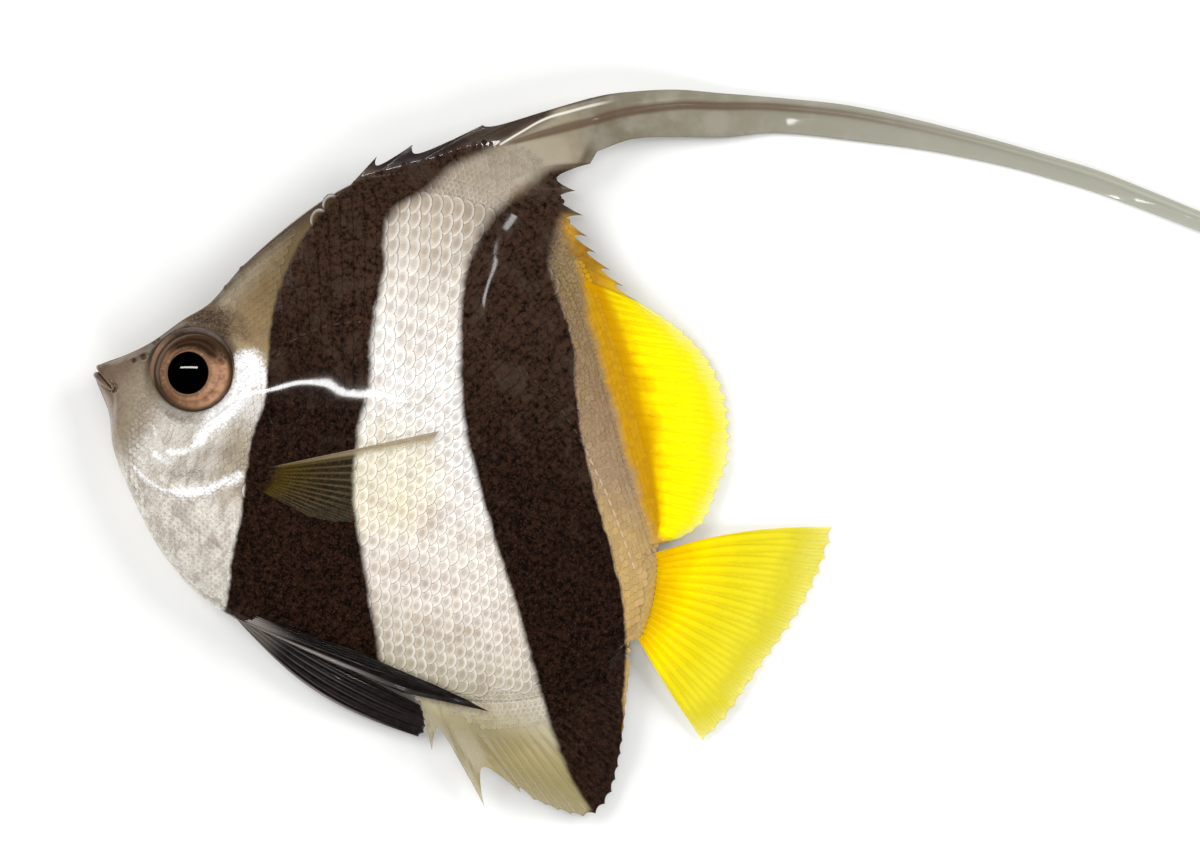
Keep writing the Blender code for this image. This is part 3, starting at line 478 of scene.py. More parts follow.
class Painter:
    # adds nodes to a tree; an input is a plain value or another node's output
    def __init__(self, tree):
        self.tree = tree

    def add(self, kind, inputs=(), **settings):
        made = self.tree.nodes.new(kind)
        for name, value in settings.items():
            setattr(made, name, value)
        self.fill(made, dict(inputs))
        return made

    def fill(self, node, values):
        for key, value in values.items():
            if isinstance(value, bpy.types.NodeSocket):
                self.tree.links.new(value, node.inputs[key])
            else:
                node.inputs[key].default_value = value

    def calc(self, operation, *values):
        return self.add("ShaderNodeMath", enumerate(values), operation=operation).outputs[0]

    def plus(self, first, *others):
        for value in others:
            first = self.calc("ADD", first, value)
        return first

    def times(self, first, *others):
        for value in others:
            first = self.calc("MULTIPLY", first, value)
        return first

    def less(self, value, taken):
        return self.calc("SUBTRACT", value, taken)

    def squares(self, a, b):
        return self.plus(self.calc("POWER", a, 2.0), self.calc("POWER", b, 2.0))

    def step(self, value, low, high):
        # 0 at low and 1 at high, soft between; low may be the greater
        made = self.add("ShaderNodeMapRange", {"Value": value, "From Min": low, "From Max": high},
                        interpolation_type="SMOOTHSTEP")
        return made.outputs["Result"]

    def scaled(self, value, low, high):
        # a value from 0 to 1 spread between low and high
        made = self.add("ShaderNodeMapRange", {"Value": value, "To Min": low, "To Max": high})
        return made.outputs["Result"]

    def mix(self, share, a, b, how="MIX"):
        made = self.add("ShaderNodeMix", {0: share, 6: a, 7: b}, data_type="RGBA", blend_type=how)
        return made.outputs[2]

    def tint(self, colour, over, share, strength=None):
        # lays a screen colour over another, by a share at a strength
        if strength is not None:
            share = self.times(share, strength)
        return self.mix(share, colour, shade(*over))

    def layers(self, colour, tones, *laid):
        # tints by the names of tones, one over the other
        for name, *shares in laid:
            colour = self.tint(colour, tones[name], *shares)
        return colour

    def noise(self, where, scale, detail=2.0, roughness=0.5, distortion=0.0):
        values = {"Vector": where, "Scale": scale, "Detail": detail, "Roughness": roughness,
                  "Distortion": distortion}
        return self.add("ShaderNodeTexNoise", values).outputs["Fac"]

    def attribute(self, name, output="Fac"):
        return self.add("ShaderNodeAttribute", attribute_name=name).outputs[output]

    def uvParts(self, name):
        # a UV map's own output, and its two parts
        where = self.add("ShaderNodeUVMap", uv_map=name).outputs[0]
        parts = self.add("ShaderNodeSeparateXYZ", {0: where})
        return where, parts.outputs[0], parts.outputs[1]

    def curve(self, value, points, span, reach):
        # a smooth line through (value, result) points
        start = self.add("ShaderNodeMapRange", {"Value": value, "From Min": span[0],
                                                "From Max": span[1]})
        made = self.add("ShaderNodeFloatCurve", {"Value": start.outputs["Result"]})
        made.mapping.extend = "HORIZONTAL"
        line = made.mapping.curves[0]
        spots = [((x - span[0]) / (span[1] - span[0]), (y - reach[0]) / (reach[1] - reach[0]))
                 for x, y in sorted(points)]
        line.points[0].location = spots[0]
        line.points[1].location = spots[-1]
        for spot in spots[1:-1]:
            line.points.new(*spot)
        made.mapping.update()
        return self.scaled(made.outputs["Value"], *reach)

    def ramp(self, value, stops):
        # screen colours at places from 0 to 1
        made = self.add("ShaderNodeValToRGB", {"Fac": value})
        line = made.color_ramp
        for element, (place, colour) in zip(line.elements, (stops[0], stops[-1])):
            element.position, element.color = place, shade(*colour)
        for place, colour in stops[1:-1]:
            line.elements.new(place).color = shade(*colour)
        return made.outputs["Color"]

    def bump(self, height, distance, normal=None):
        values = {"Height": height, "Distance": distance * 0.001, "Strength": 1.0}
        if normal is not None:
            values["Normal"] = normal
        return self.add("ShaderNodeBump", values).outputs["Normal"]


def newFinish(name):
    finish = bpy.data.materials.new(name)
    finish.use_nodes = True
    return finish, Painter(finish.node_tree)


def setShader(paint, values):
    paint.fill(paint.tree.nodes["Principled BSDF"], values)


def planPlace(paint):
    # the point being shaded as a vector in the plan, and its u and v in millimetres
    spot = paint.add("ShaderNodeTexCoord").outputs["Object"]
    turned = paint.add("ShaderNodeMapping", {
        "Vector": spot, "Location": (*body["rest"], 0), "Rotation": (0, 0, turn),
        "Scale": (1000, 1000, 1000)})
    parts = paint.add("ShaderNodeSeparateXYZ", {0: turned.outputs[0]})
    return turned.outputs[0], parts.outputs[0], parts.outputs[1]


# The bands' edges as (u, v), the colours of the skin by v, and the rest by name
markings = {
    "firstFront": [
        (18.9, 28.9), (16.5, 26.3), (15.6, 24.1), (14.2, 17.1), (14.9, 10.4), (16.1, 6.8),
        (16.9, 4.2), (17.3, -0.2), (17.8, -3.7), (18.6, -6.6), (19.7, -12.0), (20.8, -17.3)],
    "firstRear": [
        (33.0, 40.1), (28.8, 35.1), (26.4, 32.5), (24.6, 29.0), (22.2, 25.4), (22.1, 24.0),
        (23.5, 19.6), (24.7, 13.5), (26.3, 8.8), (27.0, 4.2), (29.0, -2.2), (32.4, -8.2),
        (36.0, -14.2), (38.1, -17.6), (40.5, -19.5)],
    "secondFront": [
        (38.4, 37.3), (36.2, 36.3), (34.5, 34.9), (33.4, 33.0), (32.4, 31.3), (31.2, 29.3),
        (30.6, 25.9), (31.2, 20.9), (33.1, 15.5), (35.4, 10.3), (36.7, 8.0), (39.0, 4.6),
        (42.8, -0.4), (47.7, -6.4), (52.0, -12.1), (56.2, -17.4), (59.0, -20.4), (62.2, -22.8)],
    "secondRear": [
        (46.5, 36.0), (39.6, 33.2), (38.1, 31.4), (38.3, 28.7), (38.9, 26.2), (40.3, 24.0),
        (43.5, 20.0), (46.1, 14.5), (48.0, 11.4), (51.3, 6.5), (54.6, 2.2), (57.7, -2.4),
        (59.7, -6.6), (61.7, -12.3), (63.6, -17.5), (64.6, -21.9)],
    "softEdge": 0.5, "sharpEdge": 0.25, "softAbove": (21, 28), "wander": 0.4, "inward": 1.4,
    "ground": [(-19, (182, 172, 142)), (-16, (196, 187, 162)), (-9, (244, 234, 221)),
               (-2, (252, 246, 236)), (5, (255, 254, 252)), (14, (255, 253, 248)),
               (20, (240, 233, 221)), (27, (200, 187, 168)), (33, (166, 154, 135)),
               (40, (154, 146, 124))],
    "white": (255, 255, 255), "whiteShade": (222, 212, 200), "yellowish": (250, 236, 170),
    "yellowSpot": (31.0, 0.5), "lowerOlive": (172, 158, 108),
    "band": (46, 28, 18), "bandDeep": (14, 7, 4), "bandGrey": (72, 58, 48),
    "bandUpper": (76, 55, 42), "bandGrain": (80, 52, 42),
    "strip": [(-6, (208, 170, 92)), (4, (198, 165, 106)), (9, (170, 142, 108)),
              (17, (153, 124, 88)), (25, (134, 110, 66))],
    "stripGrain": (206, 190, 172), "gold": (206, 152, 0), "goldOuter": (230, 188, 0),
    "head": [(-18, (228, 224, 212)), (-13.8, (236, 231, 219)), (-8.2, (242, 236, 224)),
             (-3.2, (214, 208, 196)), (1.0, (216, 210, 200)), (3.2, (232, 227, 220)),
             (5.6, (206, 188, 160)), (8.5, (152, 128, 88)), (13, (132, 110, 72)),
             (19, (118, 98, 64))],
    # the rear cheek's tone is painted shade along the gill cover's edge
    "cheekFront": (166, 152, 128), "gillEdgeShade": (166, 151, 124), "pearl": (156, 138, 124),
    # the silver tone is painted glare of the silvery cheek
    "paintedGlare": (255, 255, 254), "dusky": (112, 91, 68),
    "profile": (66, 50, 34), "snout": (128, 106, 86), "lips": (92, 72, 56),
    # scale, detail, roughness and distortion of each pattern
    "wanderNoise": (0.55, 4.0, 0.6), "cloudNoise": (0.32, 5.0, 0.62, 0.6),
    "speckleNoise": (1.9, 3.0, 0.7), "grainNoise": (4.2, 2.0, 0.6),
    "pearlNoise": (0.9, 3.0, 0.6, 0.8),
}


def paintHead(paint, head, place, spot, u, v, below, wander, grain):
    # dusky along the profile, darker at the snout, with painted glare in white on the cheek and
    # painted shade along the gill cover's edge
    front = paint.step(paint.plus(u, paint.times(v, -0.25)), 9.6, 6.2)
    # painted shade at the rear of the cheek, along the gill cover's edge
    rear = paint.times(paint.step(place, 13.8, 16.0), paint.step(v, 1.8, -1.0),
                       paint.step(v, -9.0, -5.0))
    head = paint.layers(
        head, markings,
        ("cheekFront", paint.times(front, paint.step(v, -12, -6))),
        ("gillEdgeShade", rear, 0.8),
        ("profile", paint.step(paint.plus(below, wander), 3.4, 0.2), 0.85),
        ("snout", paint.step(u, 5.6, 1.8), 0.9),
        ("lips", paint.step(u, 1.6, 0.3), 0.8))
    slanted = paint.add("ShaderNodeMapping", {"Vector": spot, "Rotation": (0, 0, 0.5),
                                              "Scale": (1.0, 0.28, 1.0)}).outputs[0]
    streaks = paint.step(paint.noise(slanted, *markings["pearlNoise"]), 0.42, 0.66)
    pearl = paint.tint(head, markings["pearl"], streaks)
    head = paint.mix(paint.times(paint.step(v, 3.0, -4.0), 0.55), head, pearl)
    # white specks on the cheek: painted glints of the silvery skin
    paintedGlints = paint.times(paint.step(grain, 0.54, 0.74), paint.step(v, 4.5, -2.0),
                          paint.step(u, 4.0, 8.0))
    eyeU, eyeV = relief["eye"]
    fromEyeU, fromEyeV = paint.less(u, eyeU), paint.less(v, eyeV)
    around = paint.calc("SQRT", paint.squares(fromEyeU, fromEyeV))
    above = paint.step(paint.less(fromEyeV, paint.times(fromEyeU, 0.6)), -3.5, 3.5)
    stroke = paint.times(paint.attribute("strokes"),
                         paint.scaled(paint.step(grain, 0.36, 0.6), 0.4, 1.15))
    return paint.layers(
        head, markings,
        ("dusky", paint.step(grain, 0.46, 0.3), 0.3),
        ("paintedGlare", paintedGlints, 0.4),
        ("profile", paint.step(around, 5.4, 4.5), paint.scaled(above, 0.25, 0.9)),
        # positive strokes lay painted glare, negative ones dusky marks and painted shade
        ("paintedGlare", paint.step(stroke, 0.0, 0.9)),
        ("dusky", paint.step(stroke, 0.0, -0.9)),
        ("profile", paint.step(stroke, -0.7, -1.7), 0.85))


def fishMarkings():
    # the colour of the whole fish, how dark its bands are, and where scales show as a net
    tree = bpy.data.node_groups.new("fishMarkings", "ShaderNodeTree")
    for name, kind in (("Colour", "Color"), ("Dark", "Float"), ("Netted", "Float")):
        tree.interface.new_socket(name, in_out="OUTPUT", socket_type="NodeSocket" + kind)
    paint = Painter(tree)
    tones = markings
    spot, u, v = planPlace(paint)

    def byHeight(name):
        low, high = tones[name][0][0], tones[name][-1][0]
        share = paint.calc("DIVIDE", paint.less(v, low), high - low)
        return paint.ramp(share, [((at - low) / (high - low), tone) for at, tone in tones[name]])

    wander = paint.times(paint.less(paint.noise(spot, *tones["wanderNoise"]), 0.5),
                         tones["wander"] * 2)
    place = paint.plus(u, wander)

    def past(edge, softer=2.0):
        # the distance behind a band's edge, stretched where the edges are softer
        points = [(y, x) for x, y in tones[edge]]
        line = paint.curve(v, points, (-27, 46), (10, 68))
        stretch = paint.scaled(paint.step(v, *tones["softAbove"]), 1.0, softer)
        return paint.calc("DIVIDE", paint.less(place, line), stretch)

    soft, sharp, inward = tones["softEdge"], tones["sharpEdge"], tones["inward"]
    pastHead, pastSecond = past("firstFront"), past("secondRear", 4.0)
    fromHead = paint.step(pastHead, inward - sharp, inward + sharp)
    toStrip = paint.step(pastSecond, -inward - sharp, sharp - inward)
    secondRear = paint.step(pastSecond, -sharp, sharp)
    first = paint.less(paint.step(pastHead, -sharp, sharp),
                       paint.step(past("firstRear"), -soft, soft))
    second = paint.less(paint.step(past("secondFront"), -soft, soft), secondRear)
    dark = paint.plus(first, second)
    cloud = paint.noise(spot, *tones["cloudNoise"])
    speckle = paint.noise(spot, *tones["speckleNoise"])
    grain = paint.noise(spot, *tones["grainNoise"])
    # the pale ground: white, greyer above, yellowish by the fin and olive towards the anal fin
    whites = paint.tint(shade(*tones["white"]), tones["whiteShade"], paint.step(cloud, 0.4, 0.75),
                        0.7)
    ground = paint.mix(1.0, byHeight("ground"), whites, "MULTIPLY")
    spotU, spotV = tones["yellowSpot"]
    away = paint.squares(paint.less(u, spotU), paint.less(v, spotV))
    ground = paint.tint(ground, tones["yellowish"], paint.step(away, 60, 2), 0.36)
    olive = paint.times(paint.step(v, -15.5, -21), paint.step(u, 42, 52))
    ground = paint.tint(ground, tones["lowerOlive"], olive, 0.9)
    below = paint.less(paint.curve(u, body["back"], (0, 60), (-1, 33)), v)
    head = paintHead(paint, byHeight("head"), place, spot, u, v, below, wander, grain)
    pale = paint.mix(fromHead, head, ground)
    # the strip before the tail, gold towards the outline
    strip = paint.tint(byHeight("strip"), tones["stripGrain"], paint.step(grain, 0.42, 0.64), 0.22)
    outer = paint.plus(below, paint.times(wander, 3.0), paint.less(grain, 0.5),
                       paint.scaled(paint.step(u, 45, 40), 0.5, 2.3))
    outward = paint.times(paint.step(outer, 0.8, -1.3), paint.step(u, 36, 40))
    strip = paint.tint(strip, tones["gold"], outward)
    strip = paint.tint(strip, tones["goldOuter"], paint.step(outer, -2.6, -6.8))
    pale = paint.mix(toStrip, pale, strip)
    # the bands: brown black, speckled, with greyer clouds in their upper parts
    deep = paint.layers(
        shade(*tones["bandDeep"]), tones,
        ("band", paint.step(speckle, 0.38, 0.66)),
        ("bandUpper", paint.times(paint.step(v, 2, 20), paint.step(speckle, 0.3, 0.6)), 0.5),
        ("bandGrey", paint.times(paint.step(cloud, 0.5, 0.68), paint.step(v, -4, 12)), 0.6),
        ("bandGrain", paint.step(grain, 0.52, 0.7), 0.45))
    # scales show as a net on the pale flank, less towards the fins
    byFins = paint.plus(paint.times(paint.step(v, 27, 33), 0.7),
                        paint.times(paint.step(v, -14, -19), 0.7))
    netted = paint.times(paint.less(1.0, dark), paint.less(1.0, paint.times(secondRear, 0.96)),
                         paint.less(1.0, byFins))
    paint.add("NodeGroupOutput", {"Colour": paint.mix(dark, pale, deep), "Dark": dark,
                                  "Netted": netted})
    return tree


markingsGroup = fishMarkings()


def useMarkings(paint):
    made = paint.add("ShaderNodeGroup", node_tree=markingsGroup)
    return made.outputs["Colour"], made.outputs["Dark"], made.outputs["Netted"]


wetness = {"coat": 0.8, "coatRoughness": 0.05, "filmScale": 0.14, "filmHeight": 0.2}


def setWetShader(paint, spot, coat, values, normal=None):
    # the shader under a film of water, whose slow ripples only the coat has
    ripples = paint.noise(spot, wetness["filmScale"], 1.0, 0.4)
    setShader(paint, {"Coat Normal": paint.bump(ripples, wetness["filmHeight"], normal),
                      "Coat Weight": coat, "Coat Roughness": wetness["coatRoughness"], **values})


bare = {"pores": (92, 78, 72), "poreNoise": (2.6, 4.0, 0.65), "foldNoise": (0.7, 3.0, 0.6),
        "metal": 0.22, "bump": 0.05}


def skinFinish():
    finish, paint = newFinish("bareSkin")
    spot = planPlace(paint)[0]
    colour, dark, _ = useMarkings(paint)
    pores, folds = paint.noise(spot, *bare["poreNoise"]), paint.noise(spot, *bare["foldNoise"])
    colour = paint.tint(colour, bare["pores"], paint.step(pores, 0.62, 0.35), 0.3)
    setWetShader(paint, spot, wetness["coat"], {
        "Base Color": colour,
        "Roughness": paint.scaled(folds, 0.3, 0.5),
        "Metallic": paint.times(paint.less(1.0, dark), bare["metal"]),
        "Normal": paint.bump(paint.plus(pores, paint.times(folds, 1.6)), bare["bump"]),
    })
    return finish


scaleTones = {
    "rim": (255, 252, 248), "middle": (152, 134, 124), "toneLow": (218, 214, 212),
    "toneHigh": (255, 255, 255), "toneShare": 0.5, "middleAt": 0.38, "middleSize": (0.3, 0.36),
    "breastFrom": (-6.5, -9.5), "drierFrom": (33.0, 29.5), "drier": 0.15,
}


def scaleFinish(name, border, centre, breast, metal):
    # scales carry the skin's markings, each with a pale rim and a greyer middle
    finish, paint = newFinish(name)
    spot, _, v = planPlace(paint)
    colour, dark, netted = useMarkings(paint)
    where, fromFront, fromSide = paint.uvParts("scaleUv")
    along = paint.less(paint.times(fromFront, 2.0), 1.0)
    across = paint.less(paint.times(fromSide, 2.0), 1.0)
    rim = paint.step(paint.calc("SQRT", paint.squares(along, across)), 0.6, 0.95)
    long, wide = scaleTones["middleSize"]
    middle = paint.squares(paint.calc("DIVIDE", paint.less(along, scaleTones["middleAt"]), long),
                           paint.calc("DIVIDE", across, wide))
    ragged = paint.times(paint.less(paint.noise(spot, 3.2, 2.0, 0.6), 0.5), 1.6)
    middle = paint.step(paint.plus(middle, ragged), 2.0, -0.2)
    patchy = paint.scaled(paint.noise(spot, 0.3, 4.0, 0.65), 0.2, 1.7)
    colour = paint.tint(colour, scaleTones["rim"], paint.times(rim, netted, border, patchy))
    strength = paint.scaled(paint.step(v, *scaleTones["breastFrom"]), centre, breast)
    colour = paint.tint(colour, scaleTones["middle"], paint.times(middle, netted, strength, patchy))
    tone = paint.tint(shade(*scaleTones["toneLow"]), scaleTones["toneHigh"],
                      paint.attribute("tone"))
    plain = paint.step(paint.attribute("strokes"), 1.3, 0.5)    # 0 where the cheek glares
    colour = paint.mix(paint.times(plain, scaleTones["toneShare"]), colour, tone, "MULTIPLY")
    lines = paint.add("ShaderNodeTexWave", {"Vector": where, "Scale": 3.2, "Distortion": 1.2},
                      bands_direction="Y").outputs["Fac"]
    grain = paint.noise(spot, 3.6, 3.0, 0.6)
    wet = paint.scaled(paint.step(v, *scaleTones["drierFrom"]), scaleTones["drier"],
                       wetness["coat"])
    setWetShader(paint, spot, wet, {
        "Base Color": colour,
        "Roughness": paint.plus(paint.scaled(grain, 0.26, 0.46), paint.times(dark, 0.22)),
        "Specular IOR Level": 0.12,
        "Metallic": paint.times(paint.less(1.0, dark), plain, metal),
        "Normal": paint.bump(paint.plus(paint.times(lines, 0.18), grain), 0.03),
    }, paint.attribute("film", "Vector"))
    return finish


def lineFinish():
    # the lateral line's tubes: the skin's own colour, paler by their crest
    finish, paint = newFinish("lateralLine")
    spot = planPlace(paint)[0]
    colour, dark, _ = useMarkings(paint)
    crest = paint.mix(dark, shade(214, 188, 172), shade(74, 54, 44))
    grain = paint.noise(spot, 3.0, 3.0, 0.6)
    setShader(paint, {
        "Base Color": paint.mix(paint.scaled(grain, 0.1, 0.7), colour, crest),
        "Roughness": paint.scaled(grain, 0.3, 0.45),
        "Normal": paint.bump(grain, 0.02),
        "Coat Weight": wetness["coat"], "Coat Roughness": wetness["coatRoughness"],
    })
    return finish


skinPiece = makeSkin()
skinPiece.data.materials.append(skinFinish())
print("skin made with", len(skinPiece.data.polygons), "faces")
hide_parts("head", "trunk", "tail_stalk")
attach(skinPiece, "root")

# Scales in slanted rows that follow the back, smaller on the head
scaleShape = {"segments": 14, "rings": (0.0, 0.6, 0.9, 1.0), "front": 0.95, "rear": 1.02,
              "half": 0.9, "tilt": 0.1, "dome": 0.06, "rim": 0.03, "overlap": 0.93,
              "sizeSpread": 0.03, "tiltSpread": 0.03}
bodyScales = {
    "rowPitch": 1.27, "upperPitch": 0.34, "alongPitch": (1.06, 0.84), "rows": (-19.6, 34.0),
    "from": 15.4, "to": 60.4, "jitter": 0.05, "seed": 11,
    "edge": 1.3, "short": 0.6, "edgeFrom": (16.8, 41.6), "tipShare": 0.975,
    # where the upper rows widen, the rows arch and the scales shorten: start and length
    "widens": (7, 9), "arches": (-12, 40), "shortens": (38, 18),
    "narrowing": [(14, 0.9), (22, 0.96), (30, 1.0), (42, 0.9), (56, 0.75), (62, 0.7)],
    "arch": [(8, -7), (12, -4), (16, -2), (22, -0.3), (30, 0), (38, -1.5), (45, -4.5), (50, -7),
             (55, -9.5), (62, -12)],
}
headScales = {
    "pitch": (0.53, 0.5), "jitter": 0.16, "seed": 23, "snout": 5.2, "eyeClear": 4.85,
    "nostrilClear": 0.75, "relief": 0.4, "slope": -0.26, "small": 0.5,
    "area": ((3.2, -22.0), (23.0, 31.0)), "tipShare": 0.97, "grows": (4.5, 1.5),
    "border": [(20.9, -17.2), (20.0, -10.4), (19.0, -4.9), (18.3, -0.9), (17.5, 3.1),
               (16.2, 6.1), (15.3, 9.0), (13.9, 13.5), (13.2, 18.0), (13.6, 22.5)],
}
finScales = {
    "pitch": 0.5, "inside": 1.5, "fade": 1.8, "relief": 0.3, "lowest": 1.0,
    "backLie": [(17, 3.0), (20, 1.9), (24, 1.15), (28, 0.4), (33, 0.0), (41, 0.05), (50, 0.35),
                (58.4, 0.5)],
    "bellyLie": [(41.6, -1.4), (46, -0.8), (59.5, -0.45)],
}
stripScales = {"pitch": (0.62, 0.56), "slope": -0.45, "ahead": 1.5, "relief": 0.3,
               "area": ((38.0, -22.0), (62.0, 32.0)), "tipShare": 0.97}
lineTubes = {"pitch": 1.12, "length": 0.8, "width": 0.13, "height": 0.08, "jitter": 0.0, "seed": 5}
unwrap = {"length": 64.0, "patch": 0.003, "start": 0.02}
film = {"pitch": 0.4, "from": (-2.0, -26.0), "size": (176, 190), "smoothing": 60, "relief": 0.0}
rearLine = smoothCurve(sorted((v, u) for u, v in markings["secondRear"]))
borderLine = smoothCurve([(v, u) for u, v in headScales["border"]])


def plainShape(name, points, faces, spots):
    # a holder of a shape that the coat sets on its points
    mesh = bpy.data.meshes.new(name)
    mesh.from_pydata(points, [], faces)
    setUvs(mesh, "scaleUv", spots)
    mesh.shade_smooth()
    return linkedObject(name, mesh)


def scaleForm():
    # one scale a unit long, lying with its front edge sunk and its rear edge free
    size = scaleShape
    count = size["segments"]
    points, spots = [(0.0, 0.0, size["dome"])], [(0.5, 0.5)]
    for reach in size["rings"][1:]:
        for k in range(count):
            angle = 2 * math.pi * k / count
            along, across = reach * math.cos(angle), reach * math.sin(angle)
            stretch = size["rear"] if along > 0 else size["front"]
            height = size["tilt"] * along + size["dome"] * (1 - reach**2)
            points.append((along * stretch, across * size["half"], height))
            spots.append((along / 2 + 0.5, across / 2 + 0.5))
    points.append((0.0, 0.0, -size["rim"] * 2))
    spots.append((0.5, 0.5))
    return plainShape("scaleShape", points, cappedFaces(len(size["rings"]) - 2, count), spots)


def rowsOverBody():
    # plan points of the body's scales, with the slope of their rows and their size
    size = bodyScales
    narrowing, arch = smoothCurve(size["narrowing"]), smoothCurve(size["arch"])

    def easeOver(value, name):
        start, length = size[name]
        return float(ease((value - start) / length))

    found = []
    row, level = 0, size["rows"][0]
    while level < size["rows"][1]:
        pitch = size["rowPitch"] + size["upperPitch"] * easeOver(level, "widens")
        ramp = easeOver(level, "arches")
        along = size["from"] + (row % 2) * size["alongPitch"][0] / 2
        while along < size["to"]:
            near, far = size["alongPitch"]
            length = near + (far - near) * easeOver(along, "shortens")
            squeeze = float(narrowing(along))
            v = level * squeeze + float(arch(along)) * ramp
            ahead = level * float(narrowing(along + 0.5)) + float(arch(along + 0.5)) * ramp
            found.append((along, v, (ahead - v) / 0.5, length, pitch * squeeze, 1.0))
            along += length
        level += pitch
        row += 1
    rows = np.array(found)
    u, v = rows[:, 0], rows[:, 1]
    station, s = sectionAt(u, v)
    inside = (np.abs(s) < size["tipShare"]) & (u > borderLine(v) - 0.05) & (station > 10)
    inside &= u < rearLine(v) - size["short"]
    for line, outward, start in zip((backLine, bellyLine), (1, -1), size["edgeFrom"]):
        inside &= (beyond(line, outward, u, v) < -size["edge"]) | (u < start)
    return rows[inside]


def evenRows(size):
    # an even grid of scales in slanted rows between two corners of the plan
    (along, up), (first, last) = size["pitch"], size["area"]
    found = []
    for row in range(int((last[1] - first[1]) / up)):
        for k in range(int((last[0] - first[0]) / along)):
            u = first[0] + (k + row % 2 / 2) * along
            v = first[1] + row * up + size["slope"] * (u - (first[0] + last[0]) / 2)
            found.append((u, v, size["slope"], along, up, size["relief"]))
    return np.array(found)


def rowsOverHead():
    size = headScales
    rows = evenRows(size)
    u, v = rows[:, 0], rows[:, 1]
    station, s = sectionAt(u, v)
    fromEye = np.hypot(u - relief["eye"][0], v - relief["eye"][1])
    inside = (np.abs(s) < size["tipShare"]) & (u < borderLine(v) + 0.15)
    inside &= station > size["snout"]
    inside &= fromEye > size["eyeClear"]
    for nu, nv, _ in relief["nostrils"]:
        inside &= np.hypot(u - nu, v - nv) > size["nostrilClear"]
    fromSnout, roundEye = size["grows"]
    near = np.minimum((station - size["snout"]) / fromSnout,
                      (fromEye - size["eyeClear"]) / roundEye)
    rows[:, 3:] *= (size["small"] + (1 - size["small"]) * ease(near))[:, None]
    return rows[inside]


def rowsOverStrip():
    # small scales between the second band and the tail
    size = stripScales
    rows = evenRows(size)
    u, v = rows[:, 0], rows[:, 1]
    station, s = sectionAt(u, v)
    inside = (u > rearLine(v) - size["ahead"]) & (station < body["lastStation"] - 0.02)
    inside &= np.abs(s) < size["tipShare"]
    for line, outward in ((backLine, 1), (bellyLine, -1)):
        inside &= beyond(line, outward, u, v) < -finScales["inside"] + 0.1
    return rows[inside]


def rowsOverFins():
    # small scales across the outline where the fins stand, in rows that follow it
    size = finScales
    found = []
    for line, outward, reach, lie, first, last in (
            (backLine, 1, sheathBack, smoothCurve(size["backLie"]), 17.2, 58.6),
            (bellyLine, -1, sheathBelly, smoothCurve(size["bellyLie"]), 42.0, 59.6)):
        place = first
        while place < last:
            steep = math.hypot(1.0, slopeOf(line, place))
            advance = size["pitch"] / steep
            rows = int((size["inside"] + float(reach(place))) / size["pitch"])
            for k in range(rows + 1):
                off = k * size["pitch"] - size["inside"]
                u, v = outlinePoint(line, place + advance * (k % 2) / 2, outward, off)
                left = float(ease((float(reach(place)) - off) / size["fade"]))
                grow = size["pitch"] * (0.6 + 0.4 * left)
                rise = size["relief"] * (0.3 + 0.7 * left)
                found.append((u, v, float(lie(place)), grow, grow, rise))
            place += advance
    rows = np.array(found)
    return rows[rows[:, 0] > borderLine(rows[:, 1]) - 0.05]


def tubeForm():
    # one tube of the lateral line a unit long, half sunk in its scale
    rings, count = ((-0.5, 0.35), (-0.42, 0.8), (0.1, 1.0), (0.42, 0.8), (0.5, 0.4)), 10
    points, spots = [], []
    for along, wide in rings:
        for k in range(count):
            angle = 2 * math.pi * k / count
            points.append((along, wide * math.cos(angle), 0.3 + wide * math.sin(angle)))
            spots.append((along + 0.5, k / count))
    faces = ringFaces(0, len(rings) - 1, count)
    last = len(points) - 1
    faces += [tuple(range(count)), tuple(range(last, last - count, -1))]
    return plainShape("tubeShape", points, faces, spots)


def rowsOverLine():
    # the tubes of the lateral line, end to end along it
    size = lineTubes
    path = relief["lateralLine"]
    reach = sum(math.dist(a, b) for a, b in zip(path[:-1], path[1:]))
    shares = np.arange(0.5, reach / size["pitch"]) * size["pitch"] / reach
    line = smoothPath(path)
    spots, ahead = line(shares), line(np.minimum(shares + 0.004, 1.0))
    slopes = (ahead - spots)[:, 1] / (ahead - spots)[:, 0]
    fixed = np.ones(len(spots))
    return np.column_stack([spots, slopes, fixed * size["length"] / scaleShape["overlap"],
                            fixed * size["width"], fixed * size["height"] / size["length"]])


def facing(alongSlope, upSlope, side):
    # a surface's outward direction, and its directions rearward and upward
    back, up = [np.column_stack([np.full(len(slope), x), np.full(len(slope), y), slope])
                for x, y, slope in ((math.cos(turn), -math.sin(turn), alongSlope),
                                    (math.sin(turn), math.cos(turn), upSlope))]
    out = np.cross(back, up) * side
    return out / np.linalg.norm(out, axis=1)[:, None], back, up


def surfaceAt(u, v, side, step=0.45):
    # place, outward direction, rearward and upward directions of the skin at plan points
    height = flankHeight(u, v, side)
    alongSlope = (flankHeight(u + step, v, side) - flankHeight(u - step, v, side)) / (2 * step)
    upSlope = (flankHeight(u, v + step, side) - flankHeight(u, v - step, side)) / (2 * step)
    x, y = framePlace(u, v)
    return (np.column_stack([x, y, height]), *facing(alongSlope, upSlope, side))


